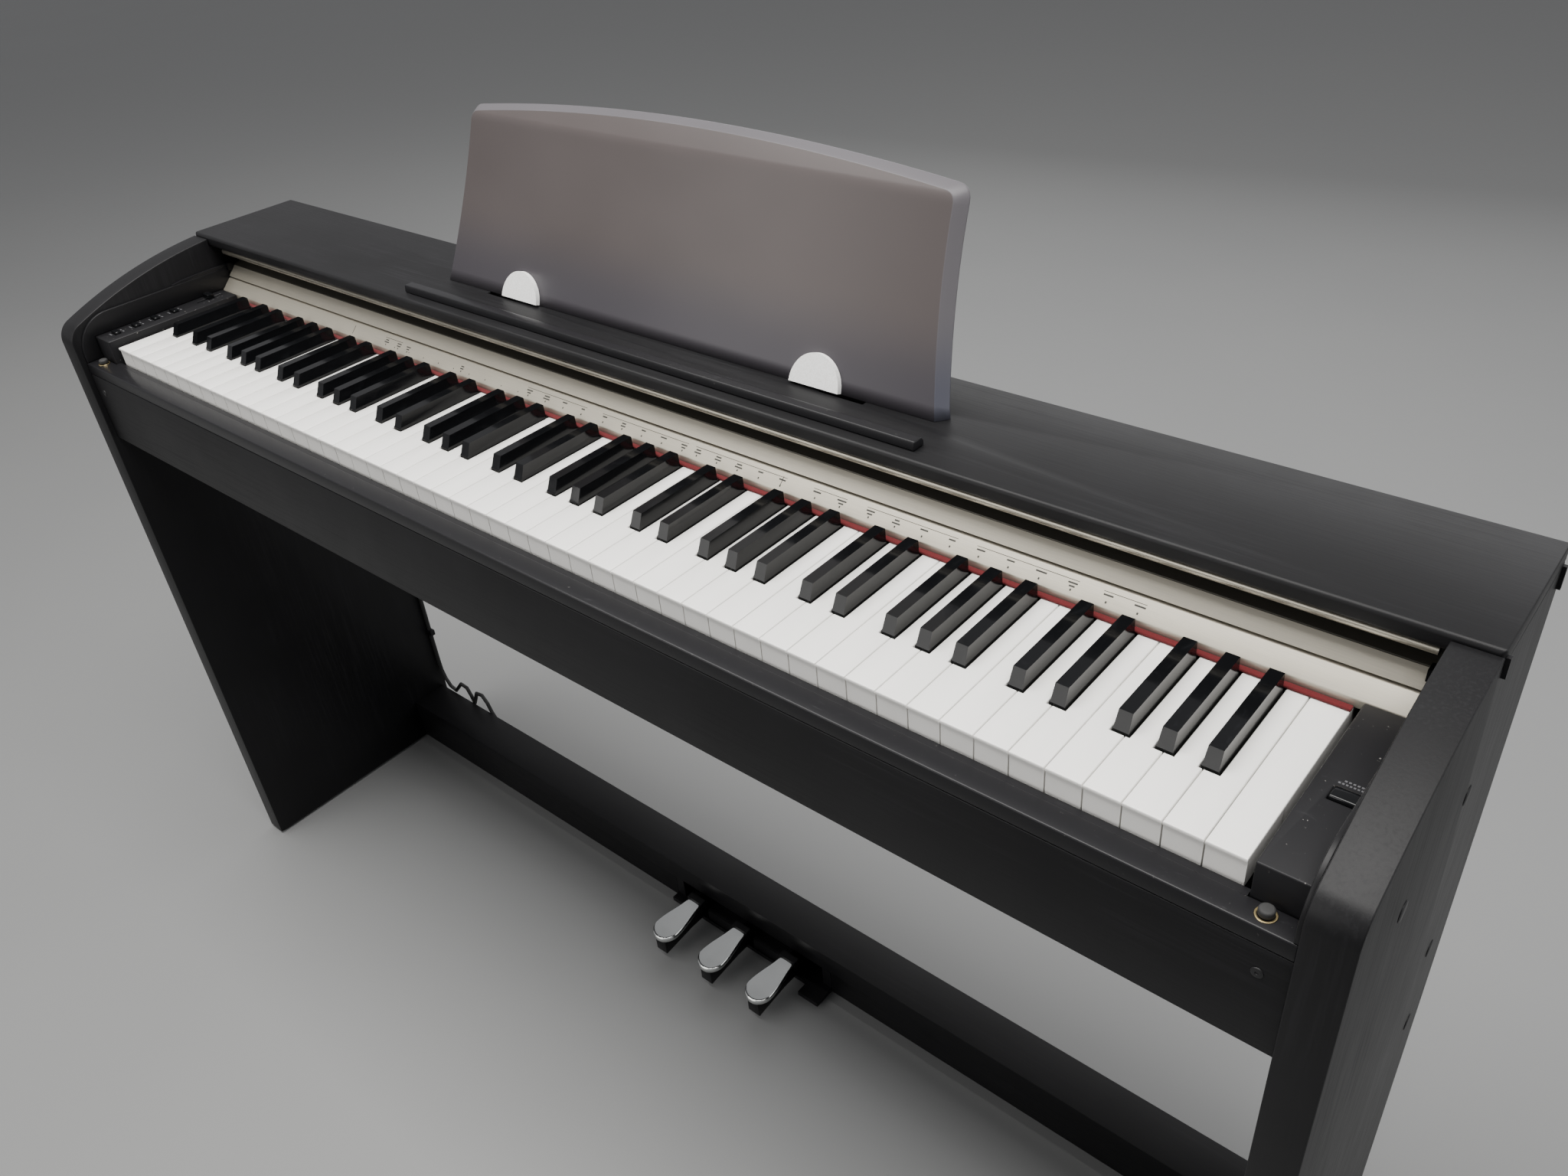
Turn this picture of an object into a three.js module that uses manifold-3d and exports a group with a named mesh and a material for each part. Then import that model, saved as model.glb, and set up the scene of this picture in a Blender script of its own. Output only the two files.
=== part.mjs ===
// Slim console digital piano on its stand, in millimetres, +Z up.
// Origin: on the floor, halfway across the width and the depth.
// +X is the player's right and -Y the player's side.
import * as THREE from 'three';
import { mergeVertices } from 'three/addons/utils/BufferGeometryUtils.js';
import Module from 'manifold-3d';

const wasm = await Module();
wasm.setup();

// ---- overall sizes -------------------------------------------------------------------------------
const WIDTH = 1352;
const DEPTH = 299;
const BOARD_TOP = 786;
const TOUCH = 0.3;               // gap left between two pieces that rest on each other

// ---- side panels and case boards -----------------------------------------------------------------
const PANEL_T = 27;
const GLIDE_H = 3;
const GLIDE_R = 9;
const GLIDE_INSET = 24;          // glide centre from the panel's front and rear edges
const PANEL_CORNER_R = 22;
const PANEL_ARC_R = 500;         // gentle crown of the panel's sloping top
const PANEL_ARC_DROP = 2;        // crown of the arc below the top board's upper face
const PANEL_ARC_SETBACK = 38;    // crown of the arc behind the top board's front edge
const BOARD_T = 12;
const BOARD_DEPTH = 123.5;
const BACK_T = 11;
const BOTTOM_T = 12;
const CASE_H = 88.8;             // from the case's underside to the top of the key slip
const APRON_RECESS = 5.5;        // apron and slip stand behind the panels' front edges
const APRON_T = 14.5;
const SLIP_T = 17;
const SLIP_H = 12.3;
const BUMPER_R = 4.4;
const BUMPER_H = 4.8;
const BUMPER_SETBACK = 10;       // bumper centre behind the slip's front face
const BUMPER_FROM_KEYS = 17;     // bumper centre beyond the end of the keyboard
const SPEAKER_HOLE_R = 52;
const SPEAKER_X = 430;
const SPEAKER_Y = 10;
const SPEAKER_RIM = 6;
const CONE_R = 30;
const CONE_CAP_R = 14;
const CONE_H = 14;
const MAGNET_R = 24;
const SPEAKER_H = 25;
const SOCKET_X = 420;
const SOCKET_HALF = 60;
const SOCKET_RISE = 20;          // from the bottom board to the socket opening
const SOCKET_H = 40;
const SOCKET_PLATE_T = 6;
const SOCKET_RECESS = 1.5;
const SOCKET_R = 4;
const SOCKET_PITCH = 35;

// ---- keyboard ------------------------------------------------------------------------------------
const KEY_PITCH = 23.5;
const KEY_GAP = 1;
const WHITE_COUNT = 52;
const KEY_DROP = 67;             // white keys' tops below the top board's upper face
const KEY_SETBACK = 29;          // white keys' fronts behind the panels' front edges
const WHITE_H = 22;
const SLIP_DROP = 16.7;          // key slip's top below the white keys' tops
const TAIL_DROP = 8;             // a white key's tail lies this much lower
const TAIL_START = 6.5;          // the tail begins this far behind the control panel's face
const KEY_REAR_INSET = 49.5;     // white keys' rear ends in front of the panels' rear edges
const BLACK_W = 0.447;           // share of the key pitch
const BLACK_TOP_W = 0.383;       // share of the key pitch
const BLACK_RISE = 12;
const BLACK_SETBACK = 50;        // black keys' fronts behind the white keys' fronts
const BLACK_REAR_GAP = 6;
const BLACK_FRONT_RUN = 5;       // the front of a black key leans back by this much
const BLACK_SKIRT = 6;           // its cap reaches this far below the white keys' tops
const BLACK_LEVER_INSET = 79.5;
const BLACK_LEVER_H = 15;
const NOTCH_GAP = 1.2;           // side clearance between a black key and the white keys
const COMB_BAR = 8;
const HINGED_FIRST = 23;         // first white key of the octave whose keys move one by one
const HINGED_COUNT = 7;
const BLACK_SHIFT = { C: -0.11, D: 0.11, F: -0.145, G: 0, A: 0.145 };  // shares of the key pitch
const NAMES = ['C', 'D', 'E', 'F', 'G', 'A', 'B'];
const KEY_DIP = 11;              // free space under the front of a key
const FRAME_H = 64;              // from the chassis' underside to the white keys' tops
const FRAME_WALL = 6;
const FRAME_RAIL = 12;
const FULCRUM_W = 24;
const FRAME_OVERHANG = 10;       // the chassis reaches this far behind the keys
const MAIN_BOARD_HALF = 210;
const MAIN_BOARD_T = 3;
const MAIN_BOARD_GAP = 8;

// ---- end blocks, cheeks and controls -------------------------------------------------------------
const BLOCK_GAP = 5;             // between the last key and an end block
const BLOCK_SETBACK = 23.5;      // block's front face behind the panels' front edges
const BLOCK_RISE = 7;            // block's top above the white keys' tops
const CHEEK_T = 3.4;
const CHEEK_H = 22;              // cheek's top above the block
const CHEEK_BEND_R = 38;
const CHEEK_SETBACK = 6;
const CHEEK_REAR_INSET = 19.5;
const CONTROL_INSET = 10;        // centre line of the controls from the cheek
const BUTTON_FIT = 0.4;
const BUTTON_PROUD = 2.2;
const BUTTON_H = 9.2;
const BUTTON_TRAVEL = 1.5;
const POCKET_SPARE = 1;
const POWER_SIZE = [16, 10];
const POWER_SETBACK = 68;        // all control positions are taken from the block's front face
const FUNCTION_SIZE = [12, 6];
const FUNCTION_SETBACK = [18, 40, 62, 84];
const SLIDER_SETBACK = 126;
const SLIDER_TRAVEL = 12;
const SLIDER_KNOB = [12, 7, 5];
const SLIDER_STEM = [3, 5, 8];
const SLIDER_SLOT = 9;

// ---- control panel, lid and top ------------------------------------------------------------------
const PANEL_ADVANCE = 3.5;       // control panel's face in front of the top board's edge
const PANEL_RISE = 0.6;          // its lip above the white keys' tops
const PANEL_LIP_H = 6;
const PANEL_FACE_RISE = 10.5;
const PANEL_FACE_RUN = 11;
const PANEL_SKIN = 3;
const FELT_W = 4.7;
const FELT_H = 2;
const FELT_GAP = 0.4;
const LID_FIT = 1.8;             // side clearance between the lid and the cheeks
const LID_SKIN = 2.5;
const STRIP_GAP = 2.1;           // dark gap between the control panel and the lid's strip
const STRIP_RISE = 11.2;
const STRIP_RUN = 9.2;
const LEAF_KNEE_INSET = 45.5;    // front leaf's bend in front of the panels' rear edges
const LEAF_REAR_INSET = 19.5;
const FRONT_LEAF_RISE = 14.4;
const REAR_LEAF_GAP = 1.5;
const REAR_LEAF_T = 4;
const REAR_LEAF_SETBACK = 11.5;  // rear leaf's nosing behind the top board's front edge
const NOSING_DROP = 3.5;
const NOSING_T = 5;

// ---- music stand ---------------------------------------------------------------------------------
const STAND_SETBACK = 55;        // stand's foot behind the top board's front edge
const STAND_LEAN = 20;           // degrees back from upright
const STAND_HALF_FOOT = 292;
const STAND_HALF_WAIST = 273;
const STAND_HALF_TOP = 272;
const STAND_WAIST_H = 78;        // height of the curve's control point
const STAND_SIDE_H = 163;
const STAND_MID_H = 178.5;
const STAND_CORNER_R = 8;
const STAND_T = 3;
const STAND_RIM = 10;
const TAB_X = 200;
const TAB_SIZE = [40, 3, 9];
const TAB_FIT = 0.6;
const LEDGE_HALF = 295;
const LEDGE_SETBACK = 11.5;
const LEDGE_W = 12.5;
const LEDGE_H = 7;
const LEDGE_BEVEL = 3;

// ---- crossbar and pedals -------------------------------------------------------------------------
const BAR_REAR_INSET = 6;
const BAR_DEPTH = 50;
const BAR_BOTTOM = 5;
const BAR_H = 61.5;
const BAR_STEP_H = 34.5;         // the lower part of the bar's front is set back
const BAR_STEP = 1.2;
const RECESS_HALF = 122;
const RECESS_DEPTH = 32;
const PEDAL_PITCH = 73;
const PEDAL_REACH = 82;          // pedal tips in front of the bar
const PEDAL_HEAD_R = 17.5;
const PEDAL_SHOULDER = 5;
const PEDAL_NECK_W = 20;
const PEDAL_NECK_GAP = 13.5;     // between a pedal's neck and the bar
const PEDAL_RISE = 37;           // pedal tops above the bar's underside
const PEDAL_T = 7.7;
const ARM_W = 17;
const ARM_TUCK = 18.5;           // the arms reach this far into the bar
const ARM_RISE = 12;
const ARM_TIP_RISE = 7;
const ARM_BEND = 33.5;           // the arm's underside bends this far in front of the bar
const ARM_TIP_INSET = 4;
const UNIT_PLATE_REACH = 9.5;
const UNIT_LUG_REACH = 25.5;
const UNIT_LUG_W = 28;
const UNIT_PLATE_T = 6;
const UNIT_WALL = 8;
const UNIT_RIB_REACH = 8;
const UNIT_RIB_H = 21;
const UNIT_RIB_GAP = 3;
const UNIT_END_W = 12;
const LEAD_D = 5.6;
const LEAD_BAR_GAP = 0.3;        // between the lead and the crossbar's rear face
const LEAD_PANEL_GAP = 0.8;
const LEAD_START = -130;
const LEAD_LOW_Z = 32;
const LEAD_CLIMB_Z = 112;        // above this height the lead runs straight up

const halfW = WIDTH / 2;
const innerX = halfW - PANEL_T;
const front = -DEPTH / 2;
const rear = DEPTH / 2;
const caseHalf = innerX - TOUCH;
const boardBottom = BOARD_TOP - BOARD_T;
const boardFront = rear - BOARD_DEPTH;
const panelBottom = GLIDE_H + TOUCH;
const backFront = rear - TOUCH - BACK_T;
const apronFront = front + APRON_RECESS;
const keyTop = BOARD_TOP - KEY_DROP;
const keyBottom = keyTop - WHITE_H;
const keyFront = front + KEY_SETBACK;
const keyRear = rear - KEY_REAR_INSET;
const keyLeft = -WHITE_COUNT * KEY_PITCH / 2;
const slipTop = keyTop - SLIP_DROP;
const caseBottom = slipTop - CASE_H;
const bottomTop = caseBottom + BOTTOM_T;
const panelFaceY = boardFront - PANEL_ADVANCE;
const blackW = BLACK_W * KEY_PITCH;
const blackFront = keyFront + BLACK_SETBACK;
const blackRear = panelFaceY - BLACK_REAR_GAP;
const frameBase = keyTop - FRAME_H;
const cheekInner = caseHalf - CHEEK_T;
const blockInner = BLOCK_GAP - keyLeft;
const blockFront = front + BLOCK_SETBACK;
const blockTop = keyTop + BLOCK_RISE;
const controlX = cheekInner - CONTROL_INSET;
const panelLipZ = keyTop + PANEL_RISE;
const panelTopZ = panelLipZ + PANEL_LIP_H + PANEL_FACE_RISE;
const panelTopY = panelFaceY + PANEL_FACE_RUN;
const lidHalf = cheekInner - LID_FIT;
const stripBottom = panelTopZ + STRIP_GAP;
const stripTop = stripBottom + STRIP_RISE;
const leafFrontY = panelTopY + STRIP_RUN;
const leafRearY = rear - LEAF_REAR_INSET;
const lean = THREE.MathUtils.degToRad(STAND_LEAN);
const standFootY = boardFront + STAND_SETBACK;
const onBoard = BOARD_TOP + TOUCH;
const barRear = rear - BAR_REAR_INSET;
const barFront = barRear - BAR_DEPTH;
const barTop = BAR_BOTTOM + BAR_H;
const barStepZ = BAR_BOTTOM + BAR_STEP_H;
const pedalTipY = barFront - PEDAL_REACH;
const pedalTop = BAR_BOTTOM + PEDAL_RISE;

// ---- materials -----------------------------------------------------------------------------------
function look(color, roughness, metalness) {
  return new THREE.MeshStandardMaterial({ color, roughness, metalness });
}
const blackWood = look(0x18181a, 0.55, 0);
const blackPlastic = look(0x1b1b1d, 0.5, 0);
const glossBlack = look(0x09090a, 0.12, 0);
const whiteKey = look(0xf0efea, 0.25, 0);
const silver = look(0xb8b2a3, 0.4, 0.8);
const felt = look(0xa3141a, 0.95, 0);
const smoked = look(0x6b6264, 0.2, 0);
const chrome = look(0xd8dadc, 0.1, 1);
const darkMetal = look(0x121213, 0.45, 0.3);
const rubber = look(0x0d0d0d, 0.8, 0);
const boardGreen = look(0x1d4a2e, 0.6, 0);
const wireBlack = look(0x0b0b0b, 0.6, 0);

// ---- geometry helpers ----------------------------------------------------------------------------
// Turns a shape drawn in (Y, Z) and extruded by its own third axis into a prism along X.
const alongX = new THREE.Matrix4().makeBasis(
  new THREE.Vector3(0, 1, 0),
  new THREE.Vector3(0, 0, 1),
  new THREE.Vector3(1, 0, 0),
);

function outline(points) {
  return new THREE.Shape(points.map(([a, b]) => new THREE.Vector2(a, b)));
}

function prismX(shape, x0, x1, curveSegments = 12) {
  const options = { depth: x1 - x0, bevelEnabled: false, curveSegments };
  const geometry = new THREE.ExtrudeGeometry(shape, options);
  return geometry.applyMatrix4(alongX).translate(x0, 0, 0);
}

function prismZ(shape, z0, z1, curveSegments = 12) {
  const options = { depth: z1 - z0, bevelEnabled: false, curveSegments };
  return new THREE.ExtrudeGeometry(shape, options).translate(0, 0, z0);
}

function box(x0, x1, y0, y1, z0, z1) {
  const geometry = new THREE.BoxGeometry(x1 - x0, y1 - y0, z1 - z0);
  return geometry.translate((x0 + x1) / 2, (y0 + y1) / 2, (z0 + z1) / 2);
}

function drum(radius, x, y, z0, z1, segments = 32) {
  const geometry = new THREE.CylinderGeometry(radius, radius, z1 - z0, segments);
  return geometry.rotateX(Math.PI / 2).translate(x, y, (z0 + z1) / 2);
}

function solid(geometry) {
  const bare = geometry.clone();
  bare.deleteAttribute('normal');
  bare.deleteAttribute('uv');
  const merged = mergeVertices(bare);
  const vertProperties = new Float32Array(merged.attributes.position.array);
  const triVerts = new Uint32Array(merged.index.array);
  return new wasm.Manifold(new wasm.Mesh({ numProp: 3, vertProperties, triVerts }));
}

function joined(geometries) {
  const solids = geometries.map(solid);
  return surface(solids.reduce((whole, next) => whole.add(next)));
}

function cut(geometry, tools) {
  const whole = tools.reduce((rest, tool) => rest.subtract(solid(tool)), solid(geometry));
  return surface(whole);
}

function surface(manifold) {
  const mesh = manifold.getMesh();
  const geometry = new THREE.BufferGeometry();
  geometry.setAttribute('position', new THREE.BufferAttribute(mesh.vertProperties, 3));
  geometry.setIndex(new THREE.BufferAttribute(mesh.triVerts, 1));
  geometry.computeVertexNormals();
  return geometry;
}

const group = new THREE.Group();

function put(name, geometry, material) {
  const mesh = new THREE.Mesh(geometry, material);
  mesh.name = name;
  group.add(mesh);
  return mesh;
}

const SIDES = [['left', -1], ['right', 1]];

// Spans from a smaller to a larger X on the side given by its sign.
function span(sign, near, far) {
  return sign > 0 ? [near, far] : [-far, -near];
}

// ---- side panels ---------------------------------------------------------------------------------
// Outline in (Y, Z): upright front edge, round corner, crowned slope, then a shelf for the top board.
function panelOutline() {
  const crownY = boardFront + PANEL_ARC_SETBACK;
  const arcZ = BOARD_TOP - PANEL_ARC_DROP - PANEL_ARC_R;
  const cornerY = front + PANEL_CORNER_R;
  const reach = PANEL_ARC_R - PANEL_CORNER_R;
  const cornerZ = arcZ + Math.sqrt(reach ** 2 - (cornerY - crownY) ** 2);
  const cornerAngle = Math.atan2(cornerZ - arcZ, cornerY - crownY);
  const shelfY = boardFront - TOUCH;
  const shelfAngle = Math.acos((shelfY - crownY) / PANEL_ARC_R);
  const shape = new THREE.Shape();
  shape.moveTo(front, panelBottom);
  shape.lineTo(front, cornerZ);
  shape.absarc(cornerY, cornerZ, PANEL_CORNER_R, Math.PI, cornerAngle, true);
  shape.absarc(crownY, arcZ, PANEL_ARC_R, cornerAngle, shelfAngle, true);
  shape.lineTo(shelfY, boardBottom - TOUCH);
  shape.lineTo(rear, boardBottom - TOUCH);
  shape.lineTo(rear, panelBottom);
  return shape;
}

function addSidePanels() {
  for (const [side, sign] of SIDES) {
    const [x0, x1] = span(sign, innerX, halfW);
    put(`side_panel_${side}`, prismX(panelOutline(), x0, x1, 10), blackWood);
  }
}

function addGlides() {
  const x = halfW - PANEL_T / 2;
  for (const [side, sign] of SIDES) {
    put(`glide_front_${side}`, drum(GLIDE_R, sign * x, front + GLIDE_INSET, 0, GLIDE_H), rubber);
    put(`glide_rear_${side}`, drum(GLIDE_R, sign * x, rear - GLIDE_INSET, 0, GLIDE_H), rubber);
  }
}

// ---- case ----------------------------------------------------------------------------------------
function addTopBoard() {
  const slots = [-TAB_X, TAB_X].map((x) => {
    const halfX = TAB_SIZE[0] / 2 + TAB_FIT;
    const drop = TAB_SIZE[2] * Math.sin(lean);
    const y0 = standFootY - drop - TAB_FIT;
    const y1 = standFootY + TAB_SIZE[1] / Math.cos(lean) + TAB_FIT;
    return box(x - halfX, x + halfX, y0, y1, boardBottom - 1, BOARD_TOP + 1);
  });
  const plank = box(-halfW, halfW, boardFront, rear, boardBottom, BOARD_TOP);
  put('top_board', cut(plank, slots), blackWood);
}

function addCaseBoards() {
  const backBottom = bottomTop + TOUCH;
  const back = box(-caseHalf, caseHalf, backFront, rear - TOUCH, backBottom, boardBottom - TOUCH);
  const socketX0 = -SOCKET_X - SOCKET_HALF;
  const socketX1 = -SOCKET_X + SOCKET_HALF;
  const socketZ = bottomTop + SOCKET_RISE;
  const port = box(socketX0, socketX1, backFront - 1, rear + 1, socketZ, socketZ + SOCKET_H);
  put('back_panel', cut(back, [port]), blackWood);

  const floorFront = apronFront + APRON_T + TOUCH;
  const floorBoard = box(-caseHalf, caseHalf, floorFront, rear - TOUCH, caseBottom, bottomTop);
  const holes = [-1, 1].map((sign) => {
    return drum(SPEAKER_HOLE_R, sign * SPEAKER_X, SPEAKER_Y, caseBottom - 1, bottomTop + 1, 40);
  });
  put('bottom_board', cut(floorBoard, holes), blackWood);

  const slipBottom = slipTop - SLIP_H;
  const apronRear = apronFront + APRON_T;
  const apron = box(-caseHalf, caseHalf, apronFront, apronRear, caseBottom, slipBottom - TOUCH);
  put('front_apron', apron, blackWood);
  const slip = box(-caseHalf, caseHalf, apronFront, apronFront + SLIP_T, slipBottom, slipTop);
  put('key_slip', slip, blackPlastic);
}

// Sockets for the adaptor, the pedal lead and the headphones, on a plate let into the back panel.
function addSocketPlate() {
  const y0 = backFront + SOCKET_RECESS;
  const y1 = y0 + SOCKET_PLATE_T;
  const x0 = -SOCKET_X - SOCKET_HALF + TOUCH;
  const x1 = -SOCKET_X + SOCKET_HALF - TOUCH;
  const z0 = bottomTop + SOCKET_RISE + TOUCH;
  const z1 = bottomTop + SOCKET_RISE + SOCKET_H - TOUCH;
  const bores = [-SOCKET_PITCH, 0, SOCKET_PITCH].map((offset) => {
    const bore = new THREE.CylinderGeometry(SOCKET_R, SOCKET_R, SOCKET_PLATE_T, 20);
    return bore.translate(-SOCKET_X + offset, y1 - 1, (z0 + z1) / 2);
  });
  put('socket_plate', cut(box(x0, x1, y0, y1, z0, z1), bores), blackPlastic);
}

function addBumpers() {
  const x = BUMPER_FROM_KEYS - keyLeft;
  const y = apronFront + BUMPER_SETBACK;
  const z0 = slipTop + TOUCH;
  for (const [side, sign] of SIDES) {
    put(`lid_bumper_${side}`, drum(BUMPER_R, sign * x, y, z0, z0 + BUMPER_H, 24), rubber);
  }
}

// Profile of a speaker as (radius, height): shallow bowl below, frame, magnet above.
function addSpeakers() {
  const rimR = SPEAKER_HOLE_R + SPEAKER_RIM;
  const profile = [
    [0, 1.5], [CONE_CAP_R, 1.5], [SPEAKER_HOLE_R - 6, 3.5], [SPEAKER_HOLE_R - 2, 0], [rimR, 0],
    [rimR, 4], [SPEAKER_HOLE_R, 5], [CONE_R, CONE_H], [MAGNET_R, CONE_H], [MAGNET_R, SPEAKER_H],
    [0, SPEAKER_H],
  ].map(([r, h]) => new THREE.Vector2(r, h));
  for (const [side, sign] of SIDES) {
    const cone = new THREE.LatheGeometry(profile, 40).rotateX(Math.PI / 2);
    put(`speaker_${side}`, cone.translate(sign * SPEAKER_X, SPEAKER_Y, bottomTop + TOUCH), darkMetal);
  }
}

// ---- end blocks, cheeks and controls -------------------------------------------------------------
function pocket(x, y, size) {
  const halfX = size[0] / 2 + BUTTON_FIT;
  const halfY = size[1] / 2 + BUTTON_FIT;
  const floorZ = blockTop + BUTTON_PROUD - BUTTON_H - BUTTON_TRAVEL - POCKET_SPARE;
  return box(x - halfX, x + halfX, y - halfY, y + halfY, floorZ, blockTop + 1);
}

function addEndBlocks() {
  const blockRear = panelFaceY - TOUCH;
  const z0 = bottomTop + TOUCH;
  const left = box(-caseHalf, -blockInner, blockFront, blockRear, z0, blockTop);
  const pockets = FUNCTION_SETBACK.map((inset) => pocket(-controlX, blockFront + inset, FUNCTION_SIZE));
  const halfX = SLIDER_STEM[0] / 2 + BUTTON_FIT;
  const halfY = SLIDER_STEM[1] / 2 + SLIDER_TRAVEL + BUTTON_FIT;
  const y = blockFront + SLIDER_SETBACK;
  const slotZ = blockTop - SLIDER_SLOT;
  const slot = box(-controlX - halfX, -controlX + halfX, y - halfY, y + halfY, slotZ, blockTop + 1);
  put('end_block_left', cut(left, [...pockets, slot]), blackPlastic);
  const right = box(blockInner, caseHalf, blockFront, blockRear, z0, blockTop);
  const powerPocket = pocket(controlX, blockFront + POWER_SETBACK, POWER_SIZE);
  put('end_block_right', cut(right, [powerPocket]), blackPlastic);
}

function button(name, x, y, size) {
  const top = blockTop + BUTTON_PROUD;
  const halfX = size[0] / 2;
  const halfY = size[1] / 2;
  put(name, box(x - halfX, x + halfX, y - halfY, y + halfY, top - BUTTON_H, top), glossBlack);
}

function addControls() {
  button('power_button', controlX, blockFront + POWER_SETBACK, POWER_SIZE);
  FUNCTION_SETBACK.forEach((inset, index) => {
    button(`function_button_${index + 1}`, -controlX, blockFront + inset, FUNCTION_SIZE);
  });
  const [knobX, knobY, knobZ] = SLIDER_KNOB.map((size, axis) => (axis < 2 ? size / 2 : size));
  const [stemX, stemY] = SLIDER_STEM.map((size) => size / 2);
  const x = -controlX;
  const y = blockFront + SLIDER_SETBACK;
  const z0 = blockTop + TOUCH;
  const knob = box(x - knobX, x + knobX, y - knobY, y + knobY, z0, z0 + knobZ);
  const stem = box(x - stemX, x + stemX, y - stemY, y + stemY, blockTop - SLIDER_STEM[2], z0 + 1);
  put('volume_slider', joined([knob, stem]), glossBlack);
}

// A thin liner on the inside of each side panel; its upper edge bends down at the front.
function addCheeks() {
  const low = blockTop + TOUCH;
  const cheekTop = blockTop + CHEEK_H;
  const cheekRear = rear - CHEEK_REAR_INSET;
  const bendY = front + CHEEK_SETBACK + CHEEK_BEND_R;
  const shape = new THREE.Shape();
  shape.moveTo(cheekRear, low);
  shape.lineTo(cheekRear, cheekTop);
  shape.lineTo(bendY, cheekTop);
  shape.absarc(bendY, cheekTop - CHEEK_BEND_R, CHEEK_BEND_R, Math.PI / 2, Math.PI, false);
  shape.lineTo(bendY - CHEEK_BEND_R, slipTop + TOUCH);
  shape.lineTo(blockFront - TOUCH, slipTop + TOUCH);
  shape.lineTo(blockFront - TOUCH, low);
  for (const [side, sign] of SIDES) {
    const [x0, x1] = span(sign, cheekInner, caseHalf);
    put(`cheek_${side}`, prismX(shape, x0, x1, 10), blackPlastic);
  }
}

// ---- control panel and felt ----------------------------------------------------------------------
function addControlPanel() {
  const half = cheekInner - TOUCH;
  const rearY = backFront - TOUCH;
  const lipTop = panelLipZ + PANEL_LIP_H;
  const skinY = panelFaceY + PANEL_SKIN;
  const face = outline([
    [panelFaceY, panelLipZ], [panelFaceY, lipTop], [panelTopY, panelTopZ], [rearY, panelTopZ],
    [rearY, panelTopZ - PANEL_SKIN], [panelTopY + 1, panelTopZ - PANEL_SKIN], [skinY, lipTop - 1],
    [skinY, panelLipZ],
  ]);
  put('control_panel', prismX(face, -half, half), silver);
  const y1 = panelFaceY - TOUCH;
  const z0 = keyTop + FELT_GAP;
  put('key_felt', box(keyLeft, -keyLeft, y1 - FELT_W, y1, z0, z0 + FELT_H), felt);
}

// ---- lid -----------------------------------------------------------------------------------------
function addLid() {
  const strip = outline([
    [panelTopY, stripBottom], [leafFrontY, stripTop], [leafFrontY, stripBottom],
  ]);
  put('lid_front_strip', prismX(strip, -lidHalf, lidHalf), silver);

  const leafY = leafFrontY + TOUCH;
  const kneeTop = stripTop + FRONT_LEAF_RISE;
  const kneeY = rear - LEAF_KNEE_INSET;
  const leaf = outline([
    [leafY, stripTop - LID_SKIN], [leafY, stripTop], [kneeY, kneeTop], [leafRearY, kneeTop],
    [leafRearY, kneeTop - LID_SKIN], [kneeY, kneeTop - LID_SKIN],
  ]);
  put('lid_front_leaf', prismX(leaf, -lidHalf, lidHalf), blackPlastic);

  const rearZ = kneeTop + REAR_LEAF_GAP;
  const noseY = boardFront + REAR_LEAF_SETBACK;
  const rearLeaf = outline([
    [noseY, rearZ - NOSING_DROP], [noseY, rearZ + REAR_LEAF_T], [leafRearY, rearZ + REAR_LEAF_T],
    [leafRearY, rearZ], [noseY + NOSING_T, rearZ], [noseY + NOSING_T, rearZ - NOSING_DROP],
  ]);
  put('lid_rear_leaf', prismX(rearLeaf, -lidHalf, lidHalf), blackPlastic);
}

// ---- keys ----------------------------------------------------------------------------------------
// Note letters run A B C D E F G ... from the lowest white key.
function letterOf(white) {
  return NAMES[(white + 5) % NAMES.length];
}

// Centre of the black key between this white key and the next, or null where there is none.
function blackCentre(white) {
  const shift = BLACK_SHIFT[letterOf(white)];
  if (shift === undefined || white >= WHITE_COUNT - 1) {
    return null;
  }
  return keyLeft + (white + 1 + shift) * KEY_PITCH;
}

// A white key in plan, narrowed beside each black key that it neighbours.
function whiteKey3d(white) {
  const x0 = keyLeft + white * KEY_PITCH + KEY_GAP / 2;
  const x1 = x0 + KEY_PITCH - KEY_GAP;
  const before = white > 0 ? blackCentre(white - 1) : null;
  const after = blackCentre(white);
  const room = blackW / 2 + NOTCH_GAP;
  const tail0 = before === null ? x0 : before + room;
  const tail1 = after === null ? x1 : after - room;
  const notchY = blackFront - NOTCH_GAP;
  const shoulderY = panelFaceY + TAIL_START;
  const plan = outline([
    [x0, keyFront], [x1, keyFront], [x1, notchY], [tail1, notchY],
    [tail1, shoulderY], [tail0, shoulderY], [tail0, notchY], [x0, notchY],
  ]);
  const head = prismZ(plan, keyBottom, keyTop);
  const tail = box(tail0, tail1, shoulderY - COMB_BAR, keyRear, keyBottom, keyTop - TAIL_DROP);
  return [head, tail];
}

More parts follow.
